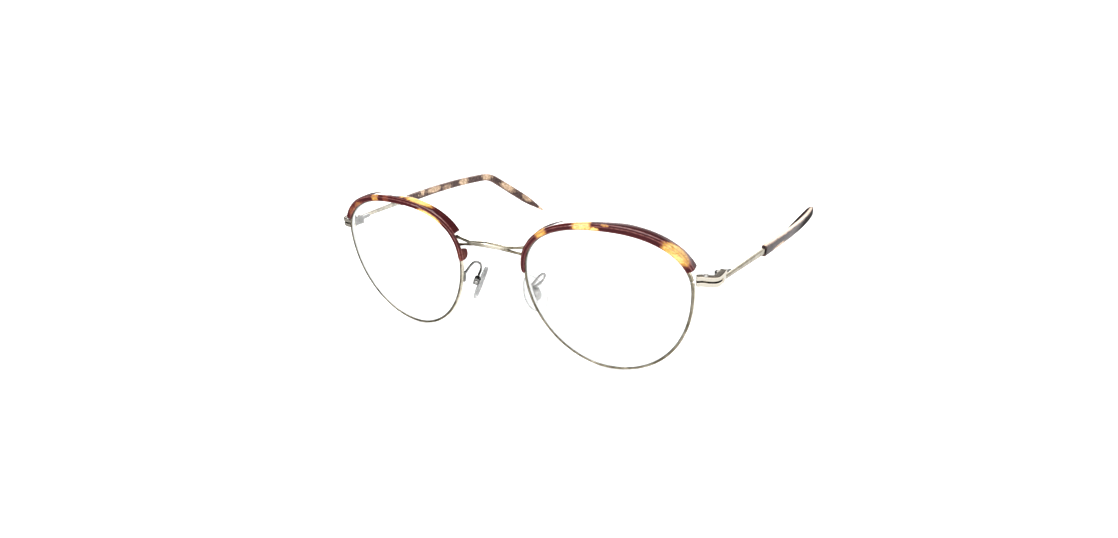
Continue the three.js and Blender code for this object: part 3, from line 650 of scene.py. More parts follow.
def ground_edge():
    """The ground, frosted bevel of the lens."""
    look = Shader("ground_edge", IOR=1.5)
    look.set("Base Color", look.ramp(
        look.noise(0.9, 3), (0.3, (0.50, 0.51, 0.50)), (0.7, (0.62, 0.63, 0.62)),
    ))
    look.set("Roughness", look.span(look.noise(0.4, 3), 0.3, 0.7, 0.45, 0.6))
    look.bump(look.noise(0.12, 2), 0.01, 0.5)
    return look.material


lens_glass = clear_lens()
lens_edge = ground_edge()
clear_pad = pad_plastic()

# ---------------------------------------------------------------- the lens surface


def opening(angle):
    """The lens outline in polar form: one roundness for each quarter."""
    c, s = np.cos(angle), np.sin(angle)
    height = np.where(s > 0, OPENING_RISE, OPENING_DROP)
    upper = np.where(c > 0, *ROUNDNESS["upper"])
    lower = np.where(c > 0, *ROUNDNESS["lower"])
    n = np.where(s > 0, upper, lower)
    radius = (np.abs(c / OPENING_HALF_WIDTH) ** n + np.abs(s / height) ** n) ** (-1 / n)
    return np.stack([c * radius, s * radius], -1)


def front_point(u, v, sag, depth):
    y = sag / (2 * LENS_CURVE_RADIUS) + RIM_SETBACK + depth
    return np.stack([
        LENS_CENTRE + u * math.cos(WRAP) - y * math.sin(WRAP),
        u * math.sin(WRAP) + y * math.cos(WRAP),
        v + 0 * y,
    ], -1)


def rim_rings(angles, sections):
    """Rings round the lens: sections holds (outward, depth) points, one set or one for each."""
    angles = np.asarray(angles, float)
    sections = np.broadcast_to(sections, (len(angles), *np.shape(sections)[-2:]))
    step = 0.002
    here = opening(angles)
    along = unit(opening(angles + step) - opening(angles - step))
    out, depth = sections[..., 0], sections[..., 1]
    u = here[:, :1] + along[:, 1:] * out
    v = here[:, 1:] - along[:, :1] * out
    return front_point(u, v, (here**2).sum(-1)[:, None], depth)


def rim_point(angle, out, depth):
    return rim_rings([angle], [[out, depth]])[0, 0]


def angle_at_height(height, side):
    """Where the opening passes a height, on the temple side or the nose side."""
    low, high = (-0.5 if side == "temple" else math.pi + 0.5), math.pi / 2
    for _ in range(40):
        middle = (low + high) / 2
        if opening(middle)[1] < height:
            low = middle
        else:
            high = middle
    return low


# ---------------------------------------------------------------- eyewire, lens and brow

RIM_OUTLINE = [
    (0, -0.69), (0.5, -0.69), (0.72, -0.47), (0.72, 0.47), (0.5, 0.69), (0, 0.69),
    (0, 0.42), (0.38, 0), (0, -0.42),
]
RIM_REACH = [0.08, 0.2, 0.2, 0.2, 0.2, 0.08, 0.05, 0.1, 0.05]


def eyewire(label, side):
    start = angle_at_height(RIM_SLIT_HEIGHT + RIM_SLIT / 2, "temple")
    end = angle_at_height(RIM_SLIT_HEIGHT - RIM_SLIT / 2, "temple") + 2 * math.pi
    section = rounded(RIM_OUTLINE, RIM_REACH, 3)
    angles = np.linspace(start, end, 260)
    # Painted light: the wire's outer face is painted light as painted highlight, and its front,
    # back and groove dark as painted shade.
    painted_light = smooth((section[:, 0] - 0.45) / 0.2) * smooth((0.62 - np.abs(section[:, 1])) / 0.2)
    wire = loft(
        f"eyewire_{label}_metal", rim_rings(angles, section), side,
        values={"painted_light": np.tile(0.3 + 0.6 * painted_light, (len(angles), 1))},
    )
    finished(wire, rim_metal, "front", "rim_metal", f"eyewire_{label}")


def lens(label, side):
    angles = ring_turns(200)
    base = opening(angles)
    sag = (base**2).sum(-1)

    def face(share, depth):
        return front_point(base[:, 0] * share, base[:, 1] * share, sag * share**2, depth)

    def edge(out, depth):
        return rim_rings(angles, [[out, depth]])[:, 0]

    shares = (0.03, 0.2, 0.4, 0.6, 0.8, 0.93)
    rings = [face(s, -LENS_HALF) for s in shares]
    rings += [
        edge(-0.3, -LENS_HALF), edge(-0.14, -LENS_HALF + 0.12), edge(-0.12, -0.25), edge(0.18, 0),
        edge(-0.12, 0.25), edge(-0.14, LENS_HALF - 0.12), edge(-0.3, LENS_HALF),
    ]
    rings += [face(s, LENS_HALF) for s in reversed(shares)]
    glass = loft(f"lens_{label}_glass", rings, side)
    glass.visible_shadow = False
    finished(glass, lens_glass, "front", "lens", f"lens_{label}")
    bevel = [(-0.19, -0.5), (-0.15, -0.46), (-0.14, -0.26), (0.15, 0), (-0.14, 0.26),
             (-0.15, 0.46), (-0.19, 0.5), (-0.18, 0)]
    ring = loft(f"lens_{label}_bevel", rim_rings(angles, bevel), side, closed=True)
    ring.data.materials.append(lens_edge)
    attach(ring, "front")


def brow_wall(angle):
    share = (math.pi / 2 - angle) / (math.pi / 2)
    top = BROW_WALL["top"]
    return np.where(
        share > 0, mix(top, BROW_WALL["temple"], share), mix(top, BROW_WALL["nose"], -share)
    )


def brow(label, side):
    edges = [*(NOTCH[0] - NOTCH_LOBE * np.linspace(0, 1, 9) ** 2)]
    edges += [NOTCH[1] + NOTCH_EDGE * share for share in (0, 0.5, 1)]
    angles = np.sort(np.concatenate([
        np.linspace(*BROW_ANGLES, 240), [angle_at_height(h, "nose") for h in edges],
        BROW_ANGLES[1] - np.array([0.01, 0.03, 0.06, 0.1, 0.15, 0.2, 0.3, 0.45]) * RAD,
        BROW_ANGLES[0] + np.array([0.01, 0.03, 0.06, 0.1, 0.2, 0.3]) * RAD,
    ]))
    base = opening(angles)
    walls = brow_wall(angles)
    length = np.concatenate([[0], np.cumsum(np.linalg.norm(np.diff(base, axis=0), axis=1))])
    from_temple, from_nose = length, length[-1] - length
    round_off = round_end(from_nose / TAIL_ROUND)
    square_off = round_end(from_temple / END_ROUND)
    walls = mix(RIM_WALL, walls, mix(0.4, 1, round_off) * mix(0.86, 1, square_off))
    lips = mix(RIM_WALL - 0.2, BROW_LIP, mix(0.25, 1, round_off) * mix(0.85, 1, square_off))
    fronts = BROW_FRONT - 0.32 * (1 - round_off) - 0.2 * (1 - square_off)
    nose_half = angles > math.pi / 2
    below = np.clip((NOTCH[0] - base[:, 1]) / NOTCH_LOBE, 0, 1)
    lobe = 1 - np.sqrt(1 - (1 - below) ** 2)
    inside_notch = lobe * smooth((NOTCH[1] - base[:, 1]) / NOTCH_EDGE + 1) * nose_half
    tail = smooth((NOTCH[0] + 1 - base[:, 1]) / 1.5) * nose_half
    backs = mix(BROW_BACK - 0.25 * tail - 1.6 * (1 - round_off), -NOTCH_DEPTH, inside_notch)
    sections, across = [], []
    # Weights for the paler corners: edge wear and a painted highlight along the front and outer
    # edges.
    corners = np.outer([0.8, 1, 1, 1, 0.6, 0, 0, 0], [0, 0.6, 1, 0.6, 0]).ravel()
    for wall, lip, front, back in zip(walls, lips, fronts, backs):
        gap = min(RIM_WALL + 0.13, wall - 0.12)
        outline = [
            (lip, -front + 0.2), (lip + 0.24, -front), (wall - 0.5, -front),
            (wall, -front + 0.62), (wall, back), (gap, back), (gap, -BROW_INSIDE),
            (lip, -BROW_INSIDE),
        ]
        section = rounded(outline, [0.14, 0.14, 0.24, 0.3, 0.2, 0.08, 0.05, 0.08], 4)
        sections.append(section)
        out, behind = section[:, 0], np.maximum(section[:, 1] + front, 0)
        across.append(np.where(out > wall - 0.45, out + behind, out))
    rings = rim_rings(angles, np.array(sections))
    across = np.array(across)
    values = {
        "along": np.degrees(angles)[:, None] + 0 * across,
        "across": across,
        "corner": np.tile(corners, (len(rings), 1)),
    }
    shape = loft(f"brow_{label}_shell", rings, side, values=values)
    finished(shape, shell["brow", side], "front", "acetate", f"brow_{label}", crease=42)


# ---------------------------------------------------------------- bridge


def prong(height, side):
    rim = rim_point(angle_at_height(height, "nose"), RIM_WALL + 0.06, 0.35)
    outer = rim + (-0.15, 0, 0)
    fork = np.array(BRIDGE_FORK)
    root = fork + (-1.2, -0.05, (height - fork[2]) * 0.12)
    middle = mix(root, outer, 0.5) + (0, -0.2, 0.06)
    places, headings = catmull([root, middle, outer], 40)
    t = np.linspace(0, 1, 40)
    tall = mix(0.46, 0.34, t) + 0.16 * np.exp(-(((1 - t) * 5) ** 2))
    deep = mix(0.55, 0.4, t) + 0.12 * np.exp(-(((1 - t) * 5) ** 2))
    return loft("prong", upright_oval(places, headings, tall, deep, 20, 2.6) * (side, 1, 1))


def bridge():
    fork = np.array(BRIDGE_FORK)
    places, headings = catmull([fork * (-1, 1, 1), BRIDGE_CENTRE, fork], 90)
    swell = np.sin(math.pi * np.linspace(0, 1, 90)) ** 0.6
    rings = upright_oval(places, headings, mix(0.6, 0.84, swell), mix(0.55, 0.77, swell), 32, 2.5)
    bar = loft("bridge_metal", rings)
    join(bar, *[prong(height, side) for side in (-1, 1) for height in PRONG_HEIGHTS])
    fused(bar, 0.07, 5)
    finished(bar, bar_metal, "front", "rim_metal", "bridge")


# ---------------------------------------------------------------- end piece and closing block

BLOCK_STEPS = 120
block_places, block_headings = catmull(BLOCK_LINE, BLOCK_STEPS + 1)


def block_point(share):
    return block_places[round(share * BLOCK_STEPS)]


def block_bar(name, share, low, high, side):
    """A flat bar between two heights along a share of the block's line."""
    stop = round(share * BLOCK_STEPS) + 1
    places, headings = block_places[:stop:3], block_headings[:stop:3]
    out = np.stack([headings[:, 1], -headings[:, 0], 0 * headings[:, 0]], -1)
    half = BLOCK_HALF_WIDTH
    corners = [(-half, low), (half, low), (half, high), (-half, high)]
    section = rounded(corners, [0.1, 0.3, 0.3, 0.1])
    flat = places * (1, 1, 0)
    rings = flat[:, None] + out[:, None] * section[None, :, :1] + section[None, :, 1:] * (0, 0, 1)
    return bevelled(loft(name, rings, side), 0.12)


def upright(name, radius, x, y, low, high, side, sides=48):
    return lathe(name, [(radius, low), (radius, high)], (x, y, 0), side, sides=sides)


def end_piece(label, side):
    split_low, split_high = RIM_SLIT_HEIGHT - RIM_SLIT / 2, RIM_SLIT_HEIGHT + RIM_SLIT / 2
    screw_at = block_point(RIM_SCREW_ALONG)

    def hole():
        return upright("hole", RIM_SCREW_BORE, screw_at[0], screw_at[1], 0, 7, side)

    bar = block_bar(f"endpiece_{label}_metal", 1, split_high, BLOCK_TOP, side)
    heel_x = block_point(0.82)[0]
    heel_y = block_point(CLOSING_BLOCK_SHARE)[1] + 0.3
    heel = block(
        "heel", (heel_x - 0.72, heel_y, BLOCK_BOTTOM),
        (heel_x + BLOCK_HALF_WIDTH, BLOCK_LINE[-1][1] - 0.03, split_high + 0.5), side,
    )
    bar = cut(join(bar, bevelled(heel, 0.14)), hole())
    fused(bar, 0.055, 4)
    finished(bar, block_metal, "front", "steel", f"endpiece_{label}")
    lower = block_bar(
        f"closing_block_{label}_metal", CLOSING_BLOCK_SHARE, BLOCK_BOTTOM, split_low, side
    )
    cut(lower, hole())
    finished(lower, block_metal, "front", "steel", f"closing_block_{label}", crease=35)


# ---------------------------------------------------------------- screws and hinges


def screw(name, shank, length, head, height, side, turn):
    """A domed slotted screw standing on its seat, placed by turn."""
    dome = [
        (head * math.cos(a), height * (0.3 + 0.7 * math.sin(a)))
        for a in np.linspace(0, 0.47 * math.pi, 9)
    ]
    profile = [(shank * 0.8, -length), (shank, -length + 0.12), (shank, 0), (head, 0)] + dome
    body = lathe(name, profile, None, side, turn)
    slot_deep = height * 0.45
    slot_low, slot_high = (-head * 1.2, -0.1, height - slot_deep), (head * 1.2, 0.1, 1)
    cut(body, block("slot", slot_low, slot_high, side, turn))
    return bevelled(body, 0.025, 2)


def at(x, y, z, spin=0.0):
    """A function that turns points about z and moves them to a place."""
    c, s = math.cos(spin), math.sin(spin)
    turn = np.array([[c, s, 0], [-s, c, 0], [0, 0, 1]])
    return lambda points: points @ turn + (x, y, z)


def screws(label, side):
    place = block_point(RIM_SCREW_ALONG)
    lock = screw(
        f"rim_screw_{label}_metal", SCREW_SHANK, 2.8, *SCREW_HEAD, side,
        at(place[0], place[1], BLOCK_TOP + 0.06, 0.5),
    )
    finished(lock, screw_steel, "front", "screw_steel", f"rim_screw_{label}")
    pin = screw(
        f"hinge_screw_{label}_metal", SCREW_SHANK, 2.85, *SCREW_HEAD, side,
        at(*HINGE, HINGE_SCREW_SEAT, -0.4),
    )
    finished(pin, screw_steel, "front", "screw_steel", f"hinge_screw_{label}")


LEAF_OUTER = BLOCK_LINE[-1][0] - BLOCK_HALF_WIDTH - 0.42
LEAF_THICKNESS = 0.8
TAB_HALF = 0.6
TAB_GAP = 0.12


def knuckle(low, web_towards, side):
    """The barrel and the web of one hinge knuckle, still solid."""
    high = low + KNUCKLE_HEIGHT
    barrel = upright("barrel", KNUCKLE_RADIUS, *HINGE, low, high, side)
    web_end = HINGE[1] + web_towards * 1.4
    web = block(
        "web", (LEAF_OUTER - LEAF_THICKNESS, min(HINGE[1], web_end), low),
        (LEAF_OUTER, max(HINGE[1], web_end), high), side,
    )
    return barrel, web


def bored(metal, side):
    """The pin's hole, cut once the knuckles are part of the metal."""
    return cut(metal, upright("bore", HINGE_BORE, *HINGE, HINGE_LOW - 1, HINGE_HIGH + 1, side))


def hinges(label, side):
    leaf = block(
        f"hinge_front_{label}_metal",
        (LEAF_OUTER - LEAF_THICKNESS, BLOCK_LINE[-1][1] - 2.6, HINGE_LOW),
        (LEAF_OUTER, HINGE[1] - 1.15, HINGE_HIGH), side,
    )
    low, high = HINGE_LOW, HINGE_HIGH - KNUCKLE_HEIGHT
    join(bevelled(leaf, 0.1), *knuckle(low, -1, side), *knuckle(high, -1, side))
    bored(leaf, side)
    finished(
        bevelled(leaf, 0.06, 2, 60), steel, "front", "steel", f"hinge_front_{label}", crease=35
    )
    middle = HINGE_LOW + KNUCKLE_HEIGHT + KNUCKLE_GAP
    outline = rounded(TAB_HALF * np.array([(-1, -1), (1, -1), (1, 1), (-1, 1)]), 0.16)
    rings = []
    for s in np.linspace(1.4, 5.6, 8):
        place, along = on_temple(s)
        out = unit((along[1], -along[0], 0))
        centre = place - out * (SHAFT_HALF[0, 0] + TAB_GAP + TAB_HALF)
        rings.append(centre + outline[:, :1] * out + outline[:, 1:] * (0, 0, 1))
    tab = loft(f"hinge_temple_{label}_metal", rings, side)
    bored(join(tab, *reversed(knuckle(middle, 1, side))), side)
    finished(
        bevelled(tab, 0.05, 2, 60), steel, f"temple_{label}", "steel", f"hinge_temple_{label}",
        crease=35,
    )


# ---------------------------------------------------------------- temple


def temple_line():
    """Places and headings along the temple, stepped from its heading at each length. Its yaw and
    pitch are degrees at the start, then what the long bow adds, then what the bend adds."""
    place = np.array(TEMPLE_START, float)
    places, headings = [], []
    for s in np.arange(0, TEMPLE_LENGTH + TEMPLE_STEP, TEMPLE_STEP):
        bow = np.clip((s - STRAIGHT_LENGTH) / (BEND_START - STRAIGHT_LENGTH), 0, 1) ** 1.5
        bend = smooth((s - BEND_START) / BEND_LENGTH)
        yaw, pitch = (np.dot(turn, (1, bow, bend)) * RAD for turn in (TEMPLE_YAW, TEMPLE_PITCH))
        along = np.array([
            math.sin(yaw) * math.cos(pitch), math.cos(yaw) * math.cos(pitch), -math.sin(pitch),
        ])
        places.append(place.copy())
        headings.append(along)
        place = place + along * TEMPLE_STEP
    return np.array(places), np.array(headings)


temple_places, temple_headings = temple_line()


def on_temple(s):
    """The place and heading at a length along the temple."""
    at_step = min(len(temple_places) - 1, s / TEMPLE_STEP)
    low = int(at_step)
    high = min(low + 1, len(temple_places) - 1)
    t = at_step - low
    place = mix(temple_places[low], temple_places[high], t)
    return place, unit(mix(temple_headings[low], temple_headings[high], t))


def temple_ring(s, thick, tall, corner=0.5):
    """A rounded rectangle across the temple at a length, with half sizes thick and tall."""
    place, along = on_temple(s)
    out = unit((along[1], -along[0], 0))
    up = unit(np.cross(out, along))
    reach = min(thick, tall) * corner * 1.7
    corners = [(thick, -tall), (thick, tall), (-thick, tall), (-thick, -tall)]
    outline = rounded(corners, reach, TEMPLE_CORNER_STEPS)
    return place + outline[:, :1] * out + outline[:, 1:] * up


CORE_START = SLEEVE_START - 0.3
CORE_END = TEMPLE_LENGTH - CORE_END_GAP


def core_half(s):
    return linear(s, CORE_START, TEMPLE_LENGTH, *CORE_HALF)


def sleeve_half(s):
    """Half the thickness and height of the tip: flared in front, a paddle that ends in a point."""
    flare = max(0, 1 - (s - SLEEVE_START) / 16) ** 2
    paddle = smooth((s - BEND_START) / 24)
    narrow = smooth((s - TEMPLE_LENGTH + 17) / 17) ** 1.3
    thin = smooth((s - TEMPLE_LENGTH + 20) / 20) ** 1.3
    tall = (SLEEVE_HALF[1] + 0.1 * flare + 0.25 * paddle) * (1 - 0.72 * narrow)
    thick = SLEEVE_HALF[0] - 0.44 * thin
    return thick, tall


def shaft(label, side):
    """The flat metal shaft and the wire core that runs on inside the tip."""
    rings = []
    for s in np.linspace(0, CORE_START, 70):
        ease = round_end(s / 0.3)
        thick, tall = linear(s, 0, CORE_START, *SHAFT_HALF)
        rings.append(temple_ring(s, thick * mix(0.7, 1, ease), tall * mix(0.8, 1, ease), 0.55))
    for s in np.linspace(CORE_START + 0.05, CORE_END, 120):
        rings.append(temple_ring(s, *core_half(s), 0.55))
    outline = rounded([(1, -1), (1, 1), (-1, 1), (-1, -1)], 0.5, TEMPLE_CORNER_STEPS)
    # Painted light: the shaft's flat sides are painted lighter as painted highlight, its top and
    # bottom darker as painted shade.
    flat_side = smooth((0.8 - np.abs(outline[:, 1])) / 0.35)
    painted_light = np.tile(0.12 + 0.42 * flat_side, (len(rings), 1))
    metal = loft(f"temple_shaft_{label}_metal", rings, side, values={"painted_light": painted_light})
    finished(metal, rim_metal, f"temple_{label}", "rim_metal", f"temple_shaft_{label}")


def height_above(ring, s):
    """How far above the temple's line each point of a ring is."""
    place, _ = on_temple(s)
    return (ring - place)[:, 2]


def sleeve(label, side):
    """The acetate tip, bored for the core and open at its front end."""
    outside, along, across = [], [], []
    stops = np.concatenate([
        SLEEVE_START + np.array([0, 0.04, 0.12, 0.25]),
        np.linspace(SLEEVE_START + 0.6, TEMPLE_LENGTH - 1.4, 260),
        TEMPLE_LENGTH - np.array([1.1, 0.8, 0.5, 0.28, 0.12, 0.03, 0.0]),
    ])
    for s in stops:
        thick, tall = sleeve_half(s)
        front = round_end((s - SLEEVE_START) / 0.25)
        point = round_end((TEMPLE_LENGTH - s) / 1.1)
        thick *= mix(0.86, 1, front) * mix(0.45, 1, point)
        tall *= mix(0.9, 1, front) * mix(0.3, 1, point)
        ring = temple_ring(s, thick, tall, 0.5)
        outside.append(ring)
        along.append(np.full(len(ring), s))
        across.append(height_above(ring, s))
    inside = [
        temple_ring(s, *(core_half(s) + SLEEVE_CLEARANCE), 0.5)
        for s in np.linspace(SLEEVE_START, CORE_END + 0.5, 60)
    ]
    flat = len(outside[0])
    # Weights for the paler corners: edge wear and a painted highlight along the tip's edges.
    corners = np.tile([0, 0.5, 1, 1, 0.5, 0], flat // (TEMPLE_CORNER_STEPS + 1))
    values = {
        "along": np.vstack([along[::-1], [np.full(flat, SLEEVE_START)] * len(inside)]),
        "across": np.vstack([across[::-1], np.zeros((len(inside), flat))]),
        "corner": np.vstack([np.tile(corners, (len(outside), 1)), np.zeros((len(inside), flat))]),
    }
    tip = loft(f"temple_tip_{label}_shell", np.array(outside[::-1] + inside), side, values=values)
    finished(
        tip, shell["tip", side], f"temple_{label}", "acetate", f"temple_tip_{label}", crease=42
    )


# ---------------------------------------------------------------- nose pads

long_axis = unit(PAD_LONG_AXIS)
pad_across = np.array([math.sin(PAD_SPLAY), math.cos(PAD_SPLAY), 0.0])
pad_across = unit(pad_across - long_axis * pad_across.dot(long_axis))
pad_away = np.cross(pad_across, long_axis)
PAD_AXES = np.array([pad_across, long_axis, pad_away])


def on_pad(points):
    """Pad axes (across, up the pad, away from the nose) to lens axes."""
    return np.asarray(points, float) @ PAD_AXES + PAD_CENTRE


def egg(length, width, height, up=0.0, sides=72):
    turn = ring_turns(sides)
    narrowing = 1 - 0.16 * np.sin(turn)
    return np.stack([
        width / 2 * np.cos(turn) * narrowing,
        length / 2 * np.sin(turn) + up,
        np.full(sides, height),
    ], -1)


def nose_pad(label, side):
    """The clear pad, with a hollow in its back for the insert."""
    rings = [egg(1, 0.6, 0.1, BOX_UP), egg(5.3, 3.5, 0.1, BOX_UP), egg(5.45, 3.65, 0.2, BOX_UP)]
    rings += [egg(5.5, 3.7, 0.52, BOX_UP), egg(5.75, 3.95, PAD_HALF - 0.02, BOX_UP)]
    rings += [egg(7.6, 5.0, PAD_HALF - 0.01, 0.1)]
    quarter = np.linspace(0, math.pi / 2, 8)
    falling, rising = (PAD_ROUNDING * (1 - wave(quarter)) for wave in (np.sin, np.cos))
    edge = [*zip(falling, PAD_HALF - rising), *zip(rising, falling - PAD_HALF)]
    for inset, height in edge:
        rings.append(egg(PAD_LENGTH - 2 * inset, PAD_WIDTH - 2 * inset, height))
    rings += [egg(PAD_LENGTH * s, PAD_WIDTH * s, -PAD_HALF) for s in (0.75, 0.4, 0.1)]
    rings = np.array([on_pad(r) for r in rings])
    rim = np.zeros(rings.shape[:2])
    rim[8:20] = 0.75  # most of the rounded edge, where the painted shade goes
    pad = loft(f"nose_pad_{label}_plastic", rings, side, values={"rim": rim})
    finished(pad, clear_pad, f"pad_{label}", "pad_plastic", f"nose_pad_{label}", crease=60)


def pad_insert(label, side):
    """The metal plate in the pad, with the tab that the pin runs through."""
    plate = loft(f"pad_insert_{label}_metal", [
        on_pad(egg(length, width, INSERT_FLOOR + rise, BOX_UP))
        for length, width, rise in ((4.8, 3.0, 0), (5, 3.2, 0.08), (5, 3.2, 0.22), (4.8, 3.0, 0.3))
    ], side)
    tab_low, tab_high = (-0.63, BOX_UP - 0.7, 0.3), (0.63, BOX_UP + 0.7, PIN_HEIGHT + 0.42)
    join(plate, bevelled(block("tab", tab_low, tab_high, side, on_pad), 0.12))
    cut(plate, pad_pin("bore", PIN_BORE, 2.5, side))
    finished(plate, steel, f"pad_{label}", "steel", f"pad_insert_{label}", crease=35)


def pad_box(label, side):
    """The box on the end of the pad arm, and the screw across it."""
    box = block("box", (-1.05, BOX_UP - 1.15, 0.75), (1.05, BOX_UP + 1.15, 2.3), side, on_pad)
    box.name = f"pad_box_{label}_metal"
    bevelled(box, 0.22)
    hollow = block("hollow", (-0.75, BOX_UP - 2.2, -1), (0.75, BOX_UP + 2.2, 2.0), side, on_pad)
    cut(box, bevelled(hollow, 0.15), pad_pin("bore", PIN_BORE, 2.5, side))
    finished(bevelled(box, 0.03, 2, 60), steel, "front", "steel", f"pad_box_{label}", crease=35)

    def across_pad(points):
        x, y, z = points[:, 0], points[:, 1], points[:, 2]
        return on_pad(np.stack([-1.11 - z, y + BOX_UP, x + PIN_HEIGHT], -1))

    pin = screw(f"pad_screw_{label}_metal", 0.28, 2.1, 0.54, 0.29, side, across_pad)
    finished(pin, screw_steel, "front", "screw_steel", f"pad_screw_{label}")


def pad_pin(name, radius, reach, side):
    """A round bar along the pad pin's axis, to cut its bores with."""
    angle = ring_turns(32)
    rings = [
        on_pad(np.stack([
            np.full(32, x), BOX_UP + radius * np.cos(angle), PIN_HEIGHT + radius * np.sin(angle),
        ], -1))
        for x in (-reach, reach)
    ]
    return loft(name, rings, side)


def pad_arm(label, side):
    """The bent wire from the back of the eyewire to the top of the pad's box."""
    def on_rim(height, off=0.12):
        return rim_point(angle_at_height(height, "nose"), RIM_WALL / 2, RIM_HALF_DEPTH + 0.42 + off)

    foot_places, _ = catmull([on_rim(-8.1), on_rim(-6.4), on_rim(-4.7)], 30)
    foot = loft(f"pad_arm_{label}_metal", tube(foot_places, PAD_WIRE["foot"]), side)
    box_top = on_pad([[0, BOX_UP + 1.15 + 0.42 + 0.12, PIN_HEIGHT + 0.1]])[0]
    loop = [
        on_rim(-5.4), (12, 4.6, -4.7), (12.1, 7, -4.2), (12.1, 9.2, -4.6),
        (11.7, 10.4, -5.9), (11.2, 9.6, -7.3), (10.7, 8, -7.8), box_top,
    ]
    places, _ = catmull(loop, 150)
    join(foot, loft("loop", tube(places, PAD_WIRE["loop"]), side))
    fused(foot, 0.055, 4)
    finished(foot, steel, "front", "steel", f"pad_arm_{label}")


# ---------------------------------------------------------------- assembly

bridge()
for label, side in (("left", 1), ("right", -1)):
    eyewire(label, side)
    lens(label, side)
    brow(label, side)
    end_piece(label, side)
    screws(label, side)
    hinges(label, side)
    shaft(label, side)
    sleeve(label, side)
    nose_pad(label, side)
    pad_insert(label, side)
    pad_box(label, side)
    pad_arm(label, side)

# ---------------------------------------------------------------- studio

FLOOR_RADIUS = 1.1
WALL_RADIUS = 1.6
WALL_HEIGHT = 1.3
WALL_GLOW = 0.9


def paper(name, colour, glow=0.0):
    look = Shader(name, Specular_IOR_Level=0.2, Roughness=0.7)
    shade = look.ramp(look.noise(60, 3), (0.3, (colour,) * 3), (0.7, (colour + 0.02,) * 3))
    look.set("Base Color", shade)
    look.bump(look.noise(0.6, 3), 0.01, 0.3)
    if glow:
        look.set("Emission Color", shade)
        look.set("Emission Strength", glow)
    return look.material


def cyclorama():
    """A pale floor, and a lit wall that curves up from it all round."""
    bend = WALL_RADIUS - FLOOR_RADIUS
    profile = [
        (FLOOR_RADIUS + bend * math.sin(a), bend - bend * math.cos(a))
        for a in np.linspace(0, math.pi / 2, 13)
    ]
    profile += [(WALL_RADIUS, WALL_HEIGHT)]
    arc = np.radians(np.linspace(-180, 180, 97))
    vertices = [(r * math.cos(a), r * math.sin(a), z) for r, z in profile for a in arc]
    faces = []
    for i in range(len(profile) - 1):
        for j in range(len(arc) - 1):
            here, there = i * len(arc) + j, (i + 1) * len(arc) + j
            faces.append((here, here + 1, there + 1, there))
    wall = new_object("wall", vertices, faces)
    wall.data.shade_smooth()
    wall.data.materials.append(paper("wall_paper", 0.9, WALL_GLOW))
    wall.visible_glossy = False
    floor = new_object("floor", [
        ((FLOOR_RADIUS + 0.02) * math.cos(a), (FLOOR_RADIUS + 0.02) * math.sin(a), -0.0002)
        for a in ring_turns(96)
    ], [tuple(range(96))])
    floor.data.materials.append(paper("floor_paper", 0.9))
    floor.visible_glossy = False


def softbox(name, place, target, size, power, colour=(1, 1, 1)):
    light = bpy.data.lights.new(name, "AREA")
    light.shape = "RECTANGLE"
    light.size, light.size_y = size
    light.energy = power
    light.color = colour
    obj = in_scene(name, light)
    obj.location = place
    obj.rotation_euler = (Vector(target) - Vector(place)).to_track_quat("-Z", "Y").to_euler()


SKY = ((0, 0.42), (0.08, 0.4), (0.16, 1.0), (0.42, 0.9), (0.5, 0.16), (0.8, 0.12), (0.9, 0.6))
SKY_STRENGTH = 2.0
DIM_SIDE = 0.35
DIM_BACK = 0.12


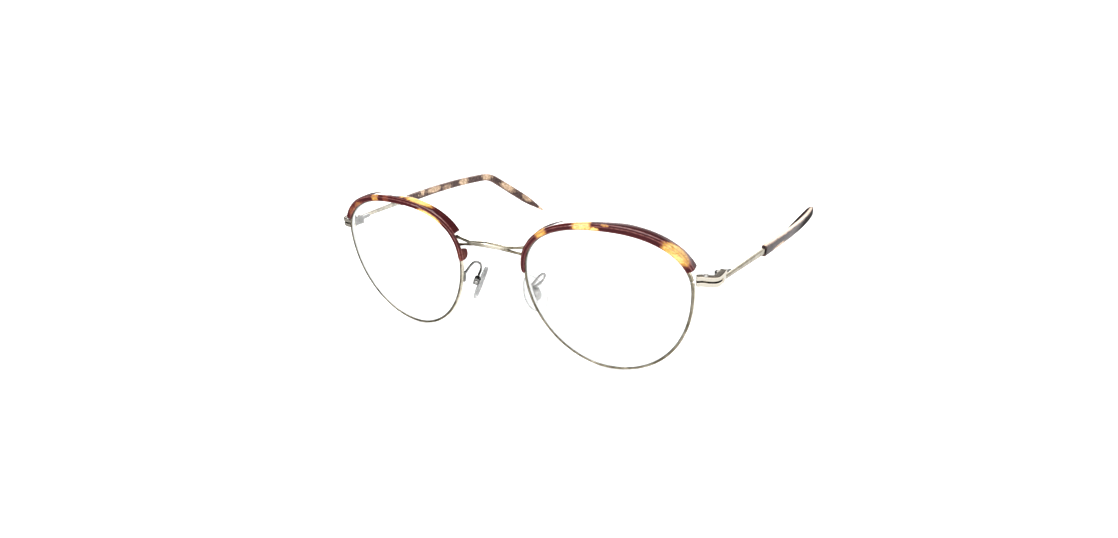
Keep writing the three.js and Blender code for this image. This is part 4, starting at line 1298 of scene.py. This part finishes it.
def sky():
    """What shiny parts reflect: a bright band above the horizon and a softer light overhead, dimmer
    to the wearer's right and low down at the back. It only shows in reflections."""
    world = bpy.data.worlds.new("studio")
    world.use_nodes = True
    tree = world.node_tree
    background = tree.nodes["Background"]
    place = tree.nodes.new("ShaderNodeTexCoord")
    split = tree.nodes.new("ShaderNodeSeparateXYZ")
    ramp = tree.nodes.new("ShaderNodeValToRGB")
    tree.links.new(place.outputs["Generated"], split.inputs[0])
    tree.links.new(split.outputs["Z"], ramp.inputs["Fac"])
    tree.links.new(ramp.outputs["Color"], background.inputs["Color"])
    fill_ramp(ramp, [(height, (grey,) * 3) for height, grey in SKY])

    def share(socket, start, end, low, high):
        made = tree.nodes.new("ShaderNodeMapRange")
        tree.links.new(socket, made.inputs["Value"])
        for field, value in zip(made.inputs[1:5], (start, end, low, high)):
            field.default_value = value
        return made.outputs[0]

    def times(a, b):
        made = tree.nodes.new("ShaderNodeMath")
        made.operation = "MULTIPLY"
        tree.links.new(a, made.inputs[0])
        tree.links.new(b, made.inputs[1])
        return made.outputs[0]

    to_the_side = share(split.outputs["X"], -0.74, -0.42, DIM_SIDE * SKY_STRENGTH, SKY_STRENGTH)
    behind = times(
        share(split.outputs["Y"], 0.4, 0.8, 0, 1), share(split.outputs["X"], 0.32, 0.22, 0, 1),
    )
    low = times(
        share(split.outputs["Z"], 0.06, -0.04, 0, 1), share(split.outputs["Z"], -0.36, -0.31, 0, 1),
    )
    behind_below = times(behind, low)
    kept = share(behind_below, 0, 1, 1, DIM_BACK)
    tree.links.new(times(to_the_side, kept), background.inputs["Strength"])
    bpy.context.scene.world = world
    world.cycles_visibility.diffuse = False


def studio():
    cyclorama()
    sky()
    softbox("top", (0.05, 0.1, 0.9), (0, 0, 0), (0.8, 0.6), 6.6)
    softbox("back", (-0.5, 0.8, 0.32), (-0.01, -0.05, 0.04), (0.8, 0.26), 4.0)
    softbox("front", (-0.4, -0.66, 0.52), (0, -0.05, 0.03), (0.16, 0.12), 3.2)
    bpy.context.scene.view_settings.view_transform = "Standard"
    bpy.context.scene.view_settings.look = "Medium High Contrast"


CAMERA_PLACE = (0.09607, -0.20347, 0.09201)
CAMERA_TURN = (68.25, 1.37, 27.96)
CAMERA_LENS = 19.54


def camera():
    lens_data = bpy.data.cameras.new("camera")
    lens_data.lens = CAMERA_LENS
    lens_data.sensor_width = 36
    lens_data.clip_start = 0.01
    obj = in_scene("camera", lens_data)
    obj.location = CAMERA_PLACE
    obj.rotation_euler = Euler([a * RAD for a in CAMERA_TURN])
    bpy.context.scene.camera = obj


studio()
camera()
